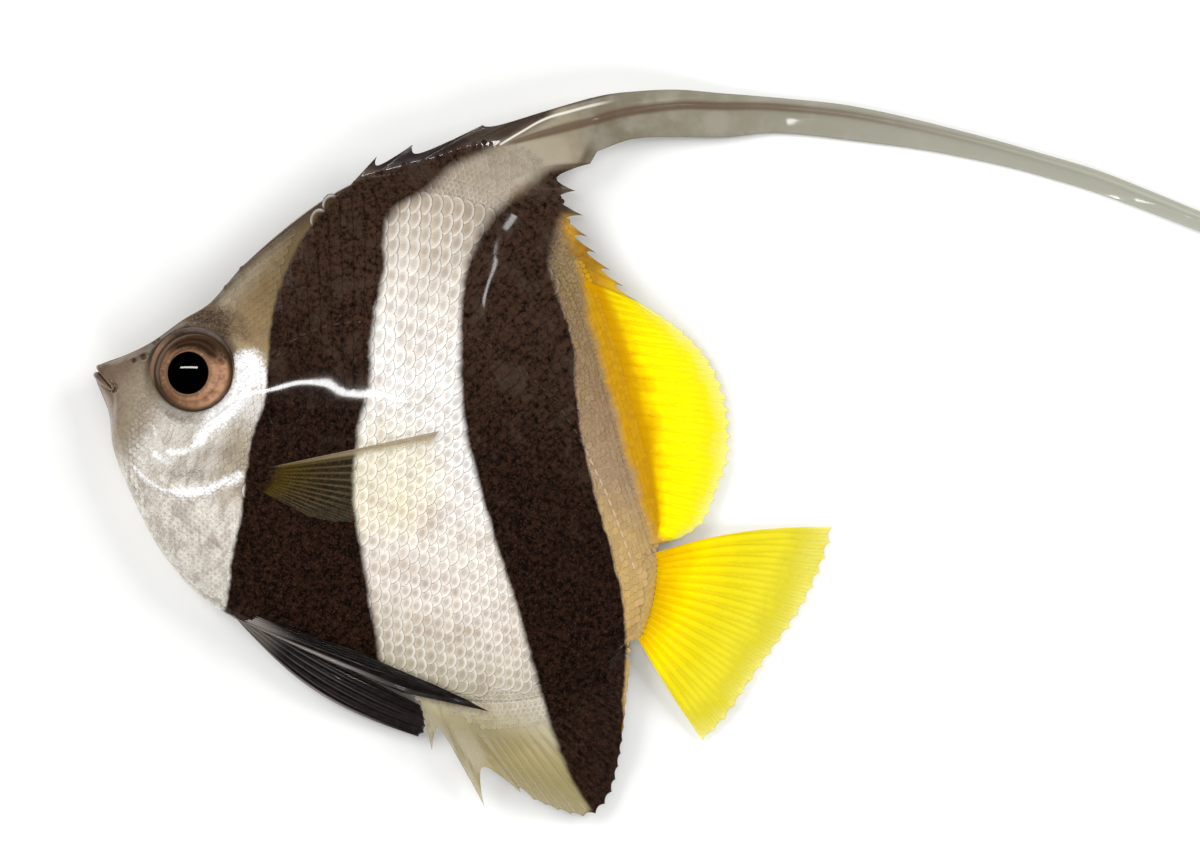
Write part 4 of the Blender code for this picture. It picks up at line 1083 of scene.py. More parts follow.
def coatPoints(name, rows, side, coat):
    # a mesh of loose points that carries what each scale needs
    u, v, slope, length, height, rise = rows.T
    draw = np.random.default_rng(coat["seed"] + side)
    spots, out, back, up = surfaceAt(u, v, side)
    lie = back + up * (slope + draw.normal(0, coat["jitter"], len(u)))[:, None]
    station, s = sectionAt(u, v)
    share = (s + 1) / 4
    root = np.column_stack([station / unwrap["length"] + unwrap["start"],
                            share if side > 0 else 1 - share, np.zeros(len(u))])
    grow = 1 + draw.normal(0, scaleShape["sizeSpread"], len(u))
    size = np.column_stack([length * scaleShape["overlap"] * grow, height * grow,
                            length * grow * rise])
    mesh = bpy.data.meshes.new(name + "Points")
    mesh.from_pydata((spots * 0.001).tolist(), [], [])
    for key, values in (("lie", lie), ("out", out), ("size", size * 0.001), ("root", root),
                        ("tone", draw.random(len(u)))):
        pointValues(mesh, key, values)
    return linkedObject(name + "Points", mesh)


def coatTree():
    # sets one scale on each point, along its own lie, and gives it its patch of the unwrap
    tree = bpy.data.node_groups.new("scaleCoat", "GeometryNodeTree")
    for name, kind in (("Geometry", "Geometry"), ("Scale shape", "Object"), ("Patch", "Float"),
                       ("Tilt spread", "Float"), ("Seed", "Int"), ("Finish", "Material")):
        tree.interface.new_socket(name, in_out="INPUT", socket_type="NodeSocket" + kind)
    tree.interface.new_socket("Geometry", in_out="OUTPUT", socket_type="NodeSocketGeometry")
    paint = Painter(tree)
    given = tree.nodes.new("NodeGroupInput").outputs

    def vector(name):
        made = paint.add("GeometryNodeInputNamedAttribute", {"Name": name},
                         data_type="FLOAT_VECTOR")
        return made.outputs["Attribute"]

    shape = paint.add("GeometryNodeObjectInfo", {"Object": given["Scale shape"]})
    aim = paint.add("FunctionNodeAxesToRotation", {"Primary Axis": vector("out"),
                                                   "Secondary Axis": vector("lie")},
                    primary_axis="Z", secondary_axis="X")
    spread = paint.times(given["Tilt spread"], -1.0)
    chance = paint.add("FunctionNodeRandomValue", {2: spread, 3: given["Tilt spread"],
                                                   "Seed": given["Seed"]}, data_type="FLOAT")
    lean = paint.add("ShaderNodeCombineXYZ", {"Y": chance.outputs[1]})
    turned = paint.add("FunctionNodeRotateRotation", {"Rotation": aim.outputs[0],
                                                      "Rotate By": lean.outputs[0]},
                       rotation_space="LOCAL")
    laid = paint.add("GeometryNodeInstanceOnPoints", {
        "Points": given["Geometry"], "Instance": shape.outputs["Geometry"],
        "Rotation": turned.outputs[0], "Scale": vector("size")})
    real = paint.add("GeometryNodeRealizeInstances", {"Geometry": laid.outputs[0]})
    centred = paint.add("ShaderNodeVectorMath", {0: vector("scaleUv"), 1: (-0.5, -0.5, 0)})
    patch = paint.add("ShaderNodeVectorMath", {0: centred.outputs[0], "Scale": given["Patch"]},
                      operation="SCALE")
    spot = paint.add("ShaderNodeVectorMath", {0: vector("root"), 1: patch.outputs[0]})
    stored = paint.add("GeometryNodeStoreNamedAttribute", {
        "Geometry": real.outputs[0], "Name": "OFBake", "Value": spot.outputs[0]},
        data_type="FLOAT2", domain="CORNER")
    painted = paint.add("GeometryNodeSetMaterial", {"Geometry": stored.outputs[0],
                                                    "Material": given["Finish"]})
    paint.add("NodeGroupOutput", {"Geometry": painted.outputs[0]})
    return tree


def applyTree(holder, tree, values, name):
    # runs a tree on an object and keeps the result as a plain mesh
    change = holder.modifiers.new("layer", "NODES")
    change.node_group = tree
    for item in tree.interface.items_tree:
        if item.in_out == "INPUT" and item.name in values:
            change[item.identifier] = values[item.name]
    bpy.context.view_layer.update()
    graph = bpy.context.evaluated_depsgraph_get()
    mesh = bpy.data.meshes.new_from_object(holder.evaluated_get(graph))
    mesh.name = name
    holder.modifiers.clear()
    bpy.data.objects.remove(holder)
    made = linkedObject(name, mesh)
    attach(made, "root")
    return made


def filmOver(side):
    # the water film's outward direction over the plan, as slopes on a grid of plan points
    pitch, (startU, startV), (wide, high) = film["pitch"], film["from"], film["size"]
    u, v = np.meshgrid(startU + np.arange(wide) * pitch, startV + np.arange(high) * pitch)
    heights = flankHeight(u.ravel(), v.ravel(), side, film["relief"]).reshape(u.shape)
    for _ in range(film["smoothing"]):
        padded = np.pad(heights, 1, mode="edge")
        heights = (padded[:-2, 1:-1] + padded[2:, 1:-1] + padded[1:-1, :-2] + padded[1:-1, 2:]) / 4
    upSlope, alongSlope = np.gradient(heights, pitch)
    return alongSlope, upSlope


def addFilm(made, side, slopes):
    # gives each point of the coat the film's outward direction, for the wet coat's reflections
    u, v = planSpots(made.data)
    pitch, (startU, startV), (wide, high) = film["pitch"], film["from"], film["size"]
    a = np.clip((u - startU) / pitch, 0, wide - 1.001)
    b = np.clip((v - startV) / pitch, 0, high - 1.001)
    i, j = a.astype(int), b.astype(int)
    f, g = a - i, b - j
    along, up = [(s[j, i] * (1 - f) + s[j, i + 1] * f) * (1 - g)
                 + (s[j + 1, i] * (1 - f) + s[j + 1, i + 1] * f) * g for s in slopes]
    pointValues(made.data, "film", facing(along, up, side)[0])
    if made.name.startswith("head"):
        pointValues(made.data, "strokes", strokesAt(u, v))


def makeCoat():
    tree = coatTree()
    shape, tube = scaleForm(), tubeForm()
    bodyFinish = scaleFinish("bodyScales", 0.5, 0.42, 0.46, 0.1)
    headFinish = scaleFinish("headScales", 0.07, 0.1, 0.44, 0.12)
    tubeFinish = lineFinish()
    bodyRows, headRows, lineRows = rowsOverBody(), rowsOverHead(), rowsOverLine()
    smallRows = np.concatenate([rowsOverFins(), rowsOverStrip()])
    lifted = smallRows[midHeight(smallRows[:, 0], smallRows[:, 1]) > finScales["lowest"]]
    for side, word in ((1, "Left"), (-1, "Right")):
        slopes = filmOver(side)
        for name, rows, size, form, finish, slotName in (
                ("scales", bodyRows, bodyScales, shape, bodyFinish, "banded_skin"),
                ("smallScales", smallRows if side > 0 else lifted, bodyScales, shape, bodyFinish,
                 "banded_skin"),
                ("headScales", headRows, headScales, shape, headFinish, "silver_skin"),
                ("lateralLine", lineRows, lineTubes, tube, tubeFinish, "banded_skin")):
            holder = coatPoints(name + word, rows, side, size)
            values = {"Scale shape": form, "Patch": unwrap["patch"], "Finish": finish,
                      "Tilt spread": scaleShape["tiltSpread"], "Seed": size["seed"]}
            made = applyTree(holder, tree, values, name + word)
            addFilm(made, side, slopes)
            print(made.name, "made with", len(rows), "scales and",
                  sum(len(p.vertices) - 2 for p in made.data.polygons), "triangles")
    bpy.data.objects.remove(shape)
    bpy.data.objects.remove(tube)


makeCoat()

# Fins: thin sheets with raised rays
def closedSheet(name, tops, feet, quads, spots, ridges):
    # closes an upper and a lower face of the same layout along their open edges
    quads = np.asarray(quads)
    count = len(tops)
    edges = np.concatenate([quads[:, [k, (k + 1) % 4]] for k in range(4)])
    keys = edges[:, 0] * count + edges[:, 1]
    border = edges[~np.isin(keys, edges[:, 1] * count + edges[:, 0])]
    sides = np.column_stack([border[:, 1], border[:, 0], border[:, 0] + count,
                             border[:, 1] + count])
    faces = np.concatenate([quads, quads[:, ::-1] + count, sides])
    made = meshPiece(name, np.concatenate([tops, feet]), faces.tolist())
    setUvs(made.data, "finUv", np.concatenate([spots, spots]))
    pointValues(made.data, "ridge", np.concatenate([ridges, ridges]))
    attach(made, "root")
    return made


def sheetSides(u, v, middle, half):
    # the upper and the lower face of a sheet over plan points, kept above the floor
    x, y = framePlace(u, v)
    lower = np.maximum(middle - half, body["finLowest"])
    return np.stack([x, y, middle + half], -1), np.stack([x, y, lower], -1)


def finGrid(fin, height):
    # the points of a fin over its rays, from the root (0) to the margin (1)
    roots, tips = np.array(fin["roots"], float), np.array(fin["tips"], float)
    count = len(roots)
    away = tips - roots
    away /= np.linalg.norm(away, axis=1)[:, None]
    roots = roots - away * fin["sunk"]
    notches = np.array(fin["notches"] if isinstance(fin["notches"], list)
                       else [fin["notches"]] * (count - 1))
    bows, stout, widen = [np.array(fin.get(name, [plain] * count))
                          for name, plain in (("bows", 0.0), ("stout", 1.0), ("widen", 1.0))]
    q, t = np.meshgrid(np.linspace(0, count - 1, (count - 1) * fin["across"] + 1),
                       np.linspace(0, 1, fin["rows"] + 1))
    i = np.minimum(q.astype(int), count - 2)
    f = q - i
    reach = t * (1 - notches[i] * np.sin(math.pi * f) ** 0.8)

    def onRay(k):
        middle = roots[k] + (tips[k] - roots[k]) * reach[..., None]
        bulge = (bows[k] * np.sin(math.pi * reach))[..., None]
        return middle + np.stack([-away[k][..., 1], away[k][..., 0]], -1) * bulge

    before, after = onRay(i), onRay(i + 1)
    spot = before + (after - before) * f[..., None]
    u, v = spot[..., 0], spot[..., 1]
    nearest = np.where(f < 0.5, i, i + 1)
    # each ray forks twice on its way out
    fork = fin.get("fork", 0.0)
    first = np.minimum(f, 1 - f) - fork * ease((reach - 0.35) / 0.5)
    second = fork * 0.45 * ease((reach - 0.68) / 0.32)
    beside = np.minimum(np.abs(first - second), np.abs(first + second))
    beside = beside * np.linalg.norm(after - before, axis=-1)
    grow = 1 + (widen[nearest] - 1) * ease((reach - 0.45) / 0.5)
    width = fin["rayWidth"] * (1 - 0.55 * reach) * grow
    ridge = bell(beside, width) * stout[nearest]
    rootHalf, tipHalf = fin["rayHalf"]
    raised = rootHalf + (tipHalf - rootHalf) * reach
    half = fin["membrane"] + (raised - fin["membrane"]) * ridge
    if fin.get("sheathed"):
        share = sheathShare(u, v)
        half = half * (1 - share) + (sheath["half"] - 0.04) * share
    wave = fin["wave"] * ease(t) * (0.5 + 0.5 * np.sin(q * fin["waveTurn"] + 2.2 * t + 0.7))
    top, foot = sheetSides(u, v, height(u, v, t) + wave, half)
    return top, foot, np.stack([q / (count - 1), reach], -1), ridge


def gridQuads(index):
    corners = index[:-1, :-1], index[:-1, 1:], index[1:, 1:], index[1:, :-1]
    return np.stack(corners, -1).reshape(-1, 4)


def makeFin(name, fin, height, finish, replaced):
    top, foot, spots, ridge = finGrid(fin, height)
    index = np.arange(ridge.size).reshape(ridge.shape)
    made = closedSheet(name, top.reshape(-1, 3), foot.reshape(-1, 3), gridQuads(index),
                       spots.reshape(-1, 2), ridge.ravel())
    made.data.materials.append(finish)
    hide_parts(replaced)
    print(name, "made with", len(made.data.polygons), "faces")
    return made


def onMiddle(u, v, t):
    return midHeight(u, v)


def finParts(paint):
    # a fin's ray place and reach, and how much a point belongs to a ray
    _, place, reach = paint.uvParts("finUv")
    return place, reach, paint.attribute("ridge")


def setFinShader(paint, tones, spot, stain, colour, solid=None, height=None):
    values = {"Base Color": colour, "Roughness": paint.scaled(stain, *tones["roughness"]),
              "Normal": paint.bump(stain if height is None else height, tones["bump"])}
    if solid is not None:
        values["Alpha"] = solid
    if "specular" in tones:
        values["Specular IOR Level"] = tones["specular"]
    setWetShader(paint, spot, tones["coat"], values)


softDorsal = {
    "rays": 24, "root": (40.2, 58.2), "sunk": 1.2, "notches": 0.035, "across": 14, "rows": 44,
    "sheathed": True,
    "margin": [(48.2, 26.3), (50.6, 25.9), (53.4, 25.2), (57.1, 23.4), (60.5, 19.6), (62.5, 13.9),
               (62.5, 8.9), (61.2, 6.3), (59.7, 5.0)],
    "membrane": 0.07, "rayHalf": (0.36, 0.1), "rayWidth": 0.17, "fork": 0.26,
    "wave": 0.22, "waveTurn": 1.1,
    "duskyTo": 0.34, "clearFrom": 0.62,
    "colours": [(0.0, (190, 138, 0)), (0.28, (196, 144, 0)), (0.38, (232, 188, 0)),
                (0.48, (255, 232, 0)), (0.84, (252, 244, 10)), (1.0, (254, 250, 120))],
}
tail = {
    "rays": 17, "root": [(59.0, 3.35), (59.6, -0.6), (60.3, -5.0)], "sunk": 1.5,
    "margin": [(74.6, 12.5), (75.0, 8.8), (74.8, 4.7), (74.0, 0.6), (73.1, -2.9), (72.3, -6.4),
               (71.5, -9.7), (70.3, -12.4)],
    "bow": 0.9, "notches": 0.02, "across": 18, "rows": 56,
    "membrane": 0.06, "rayHalf": (0.34, 0.09), "rayWidth": 0.2, "fork": 0.27,
    "wave": 0.2, "waveTurn": 0.9,
    "duskyTo": 0.0, "clearFrom": 0.72,
    "colours": [(0.0, (206, 164, 30)), (0.14, (228, 184, 0)), (0.34, (250, 220, 0)),
                (0.56, (222, 208, 22)), (0.84, (224, 214, 52)), (1.0, (246, 240, 90))],
}


yellow = {
    "coat": 0.5, "specular": 0.05, "roughness": (0.28, 0.5), "bump": 0.035,
    "stainNoise": (2.2, 3.0, 0.6), "cloudNoise": (0.35, 4.0, 0.6), "cloudShift": 0.28,
    "dusky": (176, 122, 8), "flesh": (236, 230, 216), "bright": (255, 232, 60),
    "ray": (246, 228, 180), "clear": 0.62, "clearRay": 0.25, "jointTurn": 190.0,
}


def yellowFinish(name, fin):
    # yellow by the reach of the rays, clearer at the margin, and dusky at the front if asked
    finish, paint = newFinish(name)
    spot = planPlace(paint)[0]
    place, reach, ridge = finParts(paint)
    cloud, stain = [paint.noise(spot, *yellow[key]) for key in ("cloudNoise", "stainNoise")]
    shifted = paint.plus(reach, paint.times(paint.less(cloud, 0.5), yellow["cloudShift"]))
    colour = paint.ramp(shifted, fin["colours"])
    if fin["duskyTo"]:
        top = paint.times(paint.step(place, fin["duskyTo"], 0.0), paint.step(reach, 1.0, 0.3))
        colour = paint.tint(colour, yellow["dusky"], top, 0.6)
        flesh = paint.mix(1.0, useMarkings(paint)[0], shade(*yellow["flesh"]), "MULTIPLY")
        colour = paint.mix(paint.step(paint.attribute("sheath"), 0.1, 0.95), colour, flesh)
    colour = paint.tint(colour, yellow["bright"], paint.step(stain, 0.6, 0.74), 0.2)
    rayShade = paint.mix(1.0, colour, shade(*yellow["ray"]), "MULTIPLY")
    colour = paint.mix(paint.times(ridge, 0.45), colour, rayShade)
    clear = paint.step(shifted, fin["clearFrom"], 1.02)
    solid = paint.plus(paint.less(1.0, paint.times(clear, yellow["clear"])),
                       paint.times(ridge, clear, yellow["clearRay"]))
    joints = paint.calc("SINE", paint.times(reach, yellow["jointTurn"]))
    height = paint.plus(paint.times(joints, paint.times(ridge, 0.3)), stain)
    setFinShader(paint, yellow, spot, stain, colour, solid, height)
    return finish


def makeYellowFins():
    margin = smoothPath(softDorsal["margin"])
    shares = np.linspace(0, 1, softDorsal["rays"])
    first, last = softDorsal["root"]
    softDorsal["roots"] = [outlinePoint(backLine, first + (last - first) * s, 1) for s in shares]
    softDorsal["tips"] = margin(shares).tolist()
    made = makeFin("softDorsalFin", softDorsal, onMiddle,
                   yellowFinish("softDorsalYellow", softDorsal), "dorsal_fin_soft")
    pointValues(made.data, "sheath", sheathShare(*planSpots(made.data)))
    shares = np.linspace(0, 1, tail["rays"])
    tail["roots"] = smoothPath(tail["root"])(shares).tolist()
    tail["tips"] = smoothPath(tail["margin"])(shares).tolist()
    tail["bows"] = (tail["bow"] * (1 - 1.2 * shares)).tolist()
    makeFin("tailFin", tail, onMiddle, yellowFinish("tailYellow", tail), "tail_fin")


makeYellowFins()

anal = {
    "spines": [(42.1, (45.3, -23.1)), (43.7, (52.2, -26.4)), (45.4, (55.1, -23.8))],
    "rays": 18, "root": (46.7, 59.2), "sunk": 1.2, "across": 13, "rows": 42, "sheathed": True,
    "margin": [(56.6, -24.0), (59.4, -24.1), (61.4, -23.9), (62.8, -23.2), (63.6, -20.5),
               (63.3, -18.0), (62.5, -14.4), (61.5, -10.9), (60.6, -7.6)],
    "membrane": 0.07, "rayHalf": (0.42, 0.11), "rayWidth": 0.18, "fork": 0.22,
    "wave": 0.18, "waveTurn": 1.3, "spineStout": 1.7, "clear": 0.55,
    "coat": 0.55, "roughness": (0.3, 0.5), "bump": 0.04, "stainNoise": (1.6, 4.0, 0.65),
    "olive": (176, 160, 112), "paleRay": (122, 108, 76), "darkRay": (90, 66, 50),
}
spiny = {
    # place of the root, tip, stoutness of the ray and its bow
    "rays": [
        (17.5, (18.4, 30.2), 1.0, 0.0), (19.2, (21.3, 32.6), 1.0, 0.0),
        (21.4, (27.1, 37.0), 1.0, 0.0), (23.4, (36.1, 43.5), 0.2, 0.8),
        (24.2, (37.2, 41.5), 1.0, 0.4), (26.1, (38.7, 38.8), 0.0, 0.3),
        (26.4, (38.5, 37.4), 1.0, 0.0), (28.6, (38.1, 34.3), 1.0, 0.0),
        (30.7, (39.7, 32.3), 1.0, 0.0), (32.8, (40.9, 30.5), 1.0, 0.0),
        (34.8, (42.3, 29.3), 1.0, 0.0), (36.8, (44.3, 28.2), 1.0, 0.0),
        (38.6, (46.1, 27.2), 1.0, 0.0), (40.2, (48.2, 26.3), 1.0, 0.0)],
    "bannerRays": (3, 5), "spineWiden": 3.4, "sunk": 1.2, "across": 16, "rows": 40,
    "notches": [0.42, 0.4, 0.2, 0.0, 0.0, 0.0] + [0.2] * 7,
    "membrane": 0.08, "rayHalf": (0.5, 0.14), "rayWidth": 0.28, "wave": 0.1, "waveTurn": 1.7,
    "sheathed": True,
}
banner = {
    "leading": [(36.1, 43.5), (37.5, 44.45), (39.8, 45.7), (44.0, 47.6), (48.2, 48.9), (53.4, 50.5),
                (61.2, 52.6), (70.2, 54.0), (79.5, 55.0), (87.7, 55.6), (96.9, 55.5),
                (108.0, 54.8), (118.8, 53.6)],
    "trailing": [(38.7, 38.8), (41.6, 41.3), (45.8, 43.2), (49.9, 44.8), (54.7, 47.2),
                 (62.4, 49.4), (71.2, 51.5), (80.3, 52.9), (88.7, 53.5), (97.4, 53.6),
                 (108.3, 53.4), (119.0, 52.8)],
    "rows": 190, "spineHalf": (0.34, 0.12), "spineWidth": (0.5, 0.16),
    "spineAt": [(0.0, 0.43), (0.05, 0.41), (0.12, 0.32), (0.22, 0.27), (1.0, 0.26)],
    "membrane": 0.09, "wave": 0.16,
    # the path of a painted highlight, a pale streak of wet glare
    "glareStreak": [(28.2, 34.3), (28.8, 35.0), (30.8, 37.6), (32.7, 39.9), (34.7, 41.5), (37.0, 43.2),
               (38.9, 44.4)],
    "coat": 0.6, "roughness": (0.25, 0.45), "bump": 0.04,
    "stainNoise": (1.3, 4.0, 0.6), "cloudNoise": (0.3, 3.0, 0.6),
    "ribbon": [(0.0, (118, 108, 88)), (0.1, (134, 128, 108)), (0.4, (164, 162, 146)),
               (1.0, (190, 194, 178))],
    "ribbonCloud": (178, 172, 160), "spineTone": (92, 70, 54), "frontTone": (38, 28, 25),
    "rayTone": (104, 84, 70), "behindTone": (52, 38, 30), "rearTone": (104, 74, 20),
    # the pale streak's tone is a painted highlight
    "rearStain": (150, 104, 6), "glareStreakTone": (238, 230, 220), "streakEdge": (60, 48, 38),
}


def analFinish():
    # carries the body's bands, with clearer membranes between them
    finish, paint = newFinish("analFinSkin")
    spot, u, _ = planPlace(paint)
    colour, dark, _ = useMarkings(paint)
    _, reach, ridge = finParts(paint)
    stain = paint.noise(spot, *anal["stainNoise"])
    pale = paint.less(1.0, dark)
    front = paint.times(paint.step(u, 56.0, 49.0), paint.step(reach, 0.1, 0.4))
    colour = paint.layers(colour, anal, ("olive", front, 0.45),
                          ("paleRay", paint.times(ridge, pale), 0.35),
                          ("darkRay", paint.times(ridge, dark), 0.08))
    edge = paint.calc("MAXIMUM", paint.times(paint.step(reach, 0.35, 1.0), pale), front)
    solid = paint.plus(paint.less(1.0, paint.times(edge, anal["clear"])), paint.times(ridge, 0.3))
    setFinShader(paint, anal, spot, stain, colour, solid)
    return finish


def bannerFinish():
    # dark spines and membrane, then a grey translucent ribbon with a brown spine
    finish, paint = newFinish("bannerFin")
    spot, u, v = planPlace(paint)
    _, reach, ridge = finParts(paint)
    stain, cloud = [paint.noise(spot, *banner[key]) for key in ("stainNoise", "cloudNoise")]
    raised, along = paint.step(ridge, 0.1, 0.75), paint.less(reach, 1.0)
    grey = paint.layers(
        paint.ramp(along, banner["ribbon"]), banner,
        ("ribbonCloud", paint.step(cloud, 0.4, 0.7), 0.4),
        ("spineTone", paint.times(raised, paint.step(along, 0.7, 0.1)), 0.8))
    behind = paint.plus(paint.less(u, 37.6), paint.times(paint.less(38.5, v), 0.1))
    fin = paint.layers(
        useMarkings(paint)[0], banner,
        ("frontTone", paint.times(paint.step(u, 30, 24), paint.step(v, 27.5, 30))),
        ("rayTone", ridge, 0.25),
        ("spineTone", paint.times(raised, paint.step(v, 35.4, 36.8)), 0.8),
        ("behindTone", paint.times(paint.step(behind, -0.4, 0.4), paint.step(v, 31.2, 32.6))))
    rear = paint.times(paint.step(u, 37.6, 41), paint.step(v, 32.2, 30.4),
                       paint.scaled(paint.step(u, 45, 41), 0.3, 0.8))
    stained = paint.tint(shade(*banner["rearTone"]), banner["rearStain"],
                         paint.step(stain, 0.4, 0.62))
    out = paint.step(reach, 0.82, 1.04)
    # the pale streak up to the banner is a painted highlight of wet glare, with a dusky edge before it
    off = paint.less(v, paint.curve(u, banner["glareStreak"], (28, 39), (34, 45)))
    glareStreak = paint.times(paint.step(paint.calc("ABSOLUTE", off), 0.26, 0.06),
                         paint.step(u, 28.4, 30.0), paint.step(u, 38.8, 36.4))
    whole = paint.layers(
        paint.mix(out, paint.mix(rear, fin, stained), grey), banner,
        ("streakEdge", paint.times(paint.step(off, 0.5, 0.9), paint.step(u, 39.5, 37.0)), 0.85),
        ("glareStreakTone", glareStreak, 0.8))
    thin = paint.scaled(paint.step(along, 0.0, 0.9), 0.14, 0.42)
    solid = paint.plus(paint.less(1.0, paint.times(out, thin)), paint.times(ridge, 0.3))
    setFinShader(paint, banner, spot, stain, whole, solid)
    return finish


def makeAnalFin():
    margin = smoothPath(anal["margin"])
    shares = np.linspace(0, 1, anal["rays"])
    first, last = anal["root"]
    anal["roots"] = [outlinePoint(bellyLine, u, -1) for u, _ in anal["spines"]]
    anal["roots"] += [outlinePoint(bellyLine, first + (last - first) * s, -1) for s in shares]
    anal["tips"] = [tip for _, tip in anal["spines"]] + margin(shares).tolist()
    anal["notches"] = [0.55, 0.3, 0.08] + [0.02] * (anal["rays"] - 1)
    anal["stout"] = [anal["spineStout"]] * 3 + [1.0] * anal["rays"]
    makeFin("analFin", anal, onMiddle, analFinish(), "anal_fin")


def makeSpinyFin():
    # the spiny fin and the banner are one sheet: the banner grows on from the long spine
    edge, end = spiny["bannerRays"]
    places, spiny["tips"], spiny["stout"], spiny["bows"] = zip(*spiny["rays"])
    spiny["roots"] = [outlinePoint(backLine, place, 1) for place in places]
    spiny["widen"] = [1.0] * len(places)
    spiny["widen"][edge + 1] = spiny["spineWiden"]
    top, foot, spots, ridge = finGrid(spiny, onMiddle)
    index = np.arange(ridge.size).reshape(ridge.shape)
    first, last = edge * spiny["across"], end * spiny["across"]
    size = banner
    share = np.linspace(0, 1, size["rows"] + 1)[1:, None]
    across = np.interp(np.linspace(0, 2, last - first + 1), (0, 1, 2),
                       (0, size["spineAt"][0][1], 1))[None, :]
    leading, trailing = smoothPath(size["leading"])(share), smoothPath(size["trailing"])(share)
    spot = leading + (trailing - leading) * across[..., None]
    u, v = spot[..., 0], spot[..., 1]
    wide = np.linalg.norm(trailing - leading, axis=-1)
    spineHalf, spineWidth = [start + (finish - start) * share
                             for start, finish in (size["spineHalf"], size["spineWidth"])]
    fromSpine = (across - smoothCurve(size["spineAt"])(share)) * wide
    bannerRidge = bell(fromSpine, spineWidth)
    half = size["membrane"] + (spineHalf - size["membrane"]) * bannerRidge
    wave = size["wave"] * np.sin(share * 19 + 2.4 * np.sin(share * 7) + across * 1.5)
    raised = half * 0.4 + 0.5 * (size["wave"] + wave)
    bannerTop, bannerFoot = sheetSides(u, v, midHeight(u, v) + raised * ease(share / 0.05), half)
    bannerSpots = np.stack(np.broadcast_arrays((edge + across) / len(places), 1 + share), -1)
    more = index.size + np.arange(u.size).reshape(u.shape)
    bannerIndex = np.concatenate([index[-1:, first:last + 1], more])
    pairs = (top, bannerTop), (foot, bannerFoot), (spots, bannerSpots)
    tops, feet, allSpots = [np.concatenate([part.reshape(-1, part.shape[-1]) for part in pair])
                            for pair in pairs]
    made = closedSheet("spinyFinAndBanner", tops, feet,
                       np.concatenate([gridQuads(index), gridQuads(bannerIndex)]), allSpots,
                       np.concatenate([ridge.ravel(), bannerRidge.ravel()]))
    made.data.materials.append(bannerFinish())
    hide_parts("dorsal_fin_spines", "banner_root", "banner_middle", "banner_tip")
    print("spiny fin and banner made with", len(made.data.polygons), "faces")


makeAnalFin()
makeSpinyFin()

pectoral = {
    "rays": 14, "sunk": 0.5, "notches": 0.03, "across": 16, "rows": 40,
    "leftRoot": [(19.75, -2.7), (20.15, -3.9), (20.35, -5.1)],
    "leftMargin": [(34.4, 7.0), (35.3, 4.2), (34.9, 1.2), (33.4, -1.6), (31.0, -3.9),
                   (28.2, -5.2), (25.4, -5.7)],
    "rightRoot": [(20.6, -6.3), (20.6, -7.4), (20.5, -8.5)],
    "rightMargin": [(33.2, -9.8), (33.4, -12.0), (32.2, -14.2), (30.0, -15.8), (27.4, -16.4),
                    (25.0, -15.6), (23.4, -13.9)],
    "membrane": 0.05, "rayHalf": (0.2, 0.07), "rayWidth": 0.13, "fork": 0.24,
    "wave": 0.2, "waveTurn": 1.0, "leadStout": 1.9, "lift": (0.3, 0.45), "liftStart": 0.12,
    "footLift": 0.75, "footShare": 0.3,
    "coat": 0.7, "roughness": (0.2, 0.4), "bump": 0.03, "stainNoise": (1.8, 3.0, 0.6),
    "footTone": (136, 114, 30), "outerTone": (220, 210, 160), "leadTone": (148, 126, 106),
}
pelvic = {
    "left": [((22.8, -18.0), (40.4, -18.7)), ((22.9, -17.8), (49.2, -17.3)),
             ((23.0, -17.6), (46.6, -17.0)), ((23.1, -17.4), (43.4, -16.8)),
             ((23.2, -17.2), (39.6, -16.7)), ((23.3, -17.0), (35.0, -16.5))],
    "right": [((22.6, -17.9), (43.5, -22.4)), ((22.7, -17.8), (43.9, -21.8)),
              ((22.8, -17.7), (43.8, -21.1)), ((22.9, -17.6), (43.5, -20.5)),
              ((23.0, -17.5), (43.1, -19.9)), ((23.1, -17.4), (42.6, -19.3))],
    "bow": -1.9, "sunk": 0.8, "notches": 0.007, "across": 16, "rows": 70, "emerge": (22.4, 3.0),
    "membrane": 0.1, "rayHalf": (0.34, 0.1), "rayWidth": 0.2, "fork": 0.2,
    "wave": 0.1, "waveTurn": 1.5, "drop": 1.25, "slope": 0.45, "beltV": -18.4, "lift": 0.45,
    "leadStout": 1.5, "bowLess": 0.19,
    "coat": 0.6, "roughness": (0.26, 0.46), "bump": 0.04, "stainNoise": (1.6, 4.0, 0.6),
    "black": (12, 9, 9), "brown": (30, 23, 21), "footTone": (160, 150, 143),
    "leadTone": (150, 140, 134), "rayTone": (96, 80, 72),
}


def clearFinish():
    # nearly clear, with a brown leading ray
    finish, paint = newFinish("clearFin")
    spot = planPlace(paint)[0]
    place, reach, ridge = finParts(paint)
    stain = paint.noise(spot, *pectoral["stainNoise"])
    lead = paint.step(place, 0.07, 0.015)
    colour = paint.layers(shade(*pectoral["footTone"]), pectoral,
                          ("outerTone", paint.step(reach, 0.1, 0.8)), ("leadTone", lead, 0.85))
    rays = paint.times(ridge, paint.scaled(paint.step(reach, 0.8, 0.1), 0.02, 0.11))
    solid = paint.plus(paint.scaled(paint.step(reach, 0.45, 0.0), 0.01, 0.05), rays,
                       paint.times(lead, 0.55))
    solid = paint.times(solid, paint.step(reach, 0.02, 0.16))
    setFinShader(paint, pectoral, spot, stain, colour, solid)
    return finish


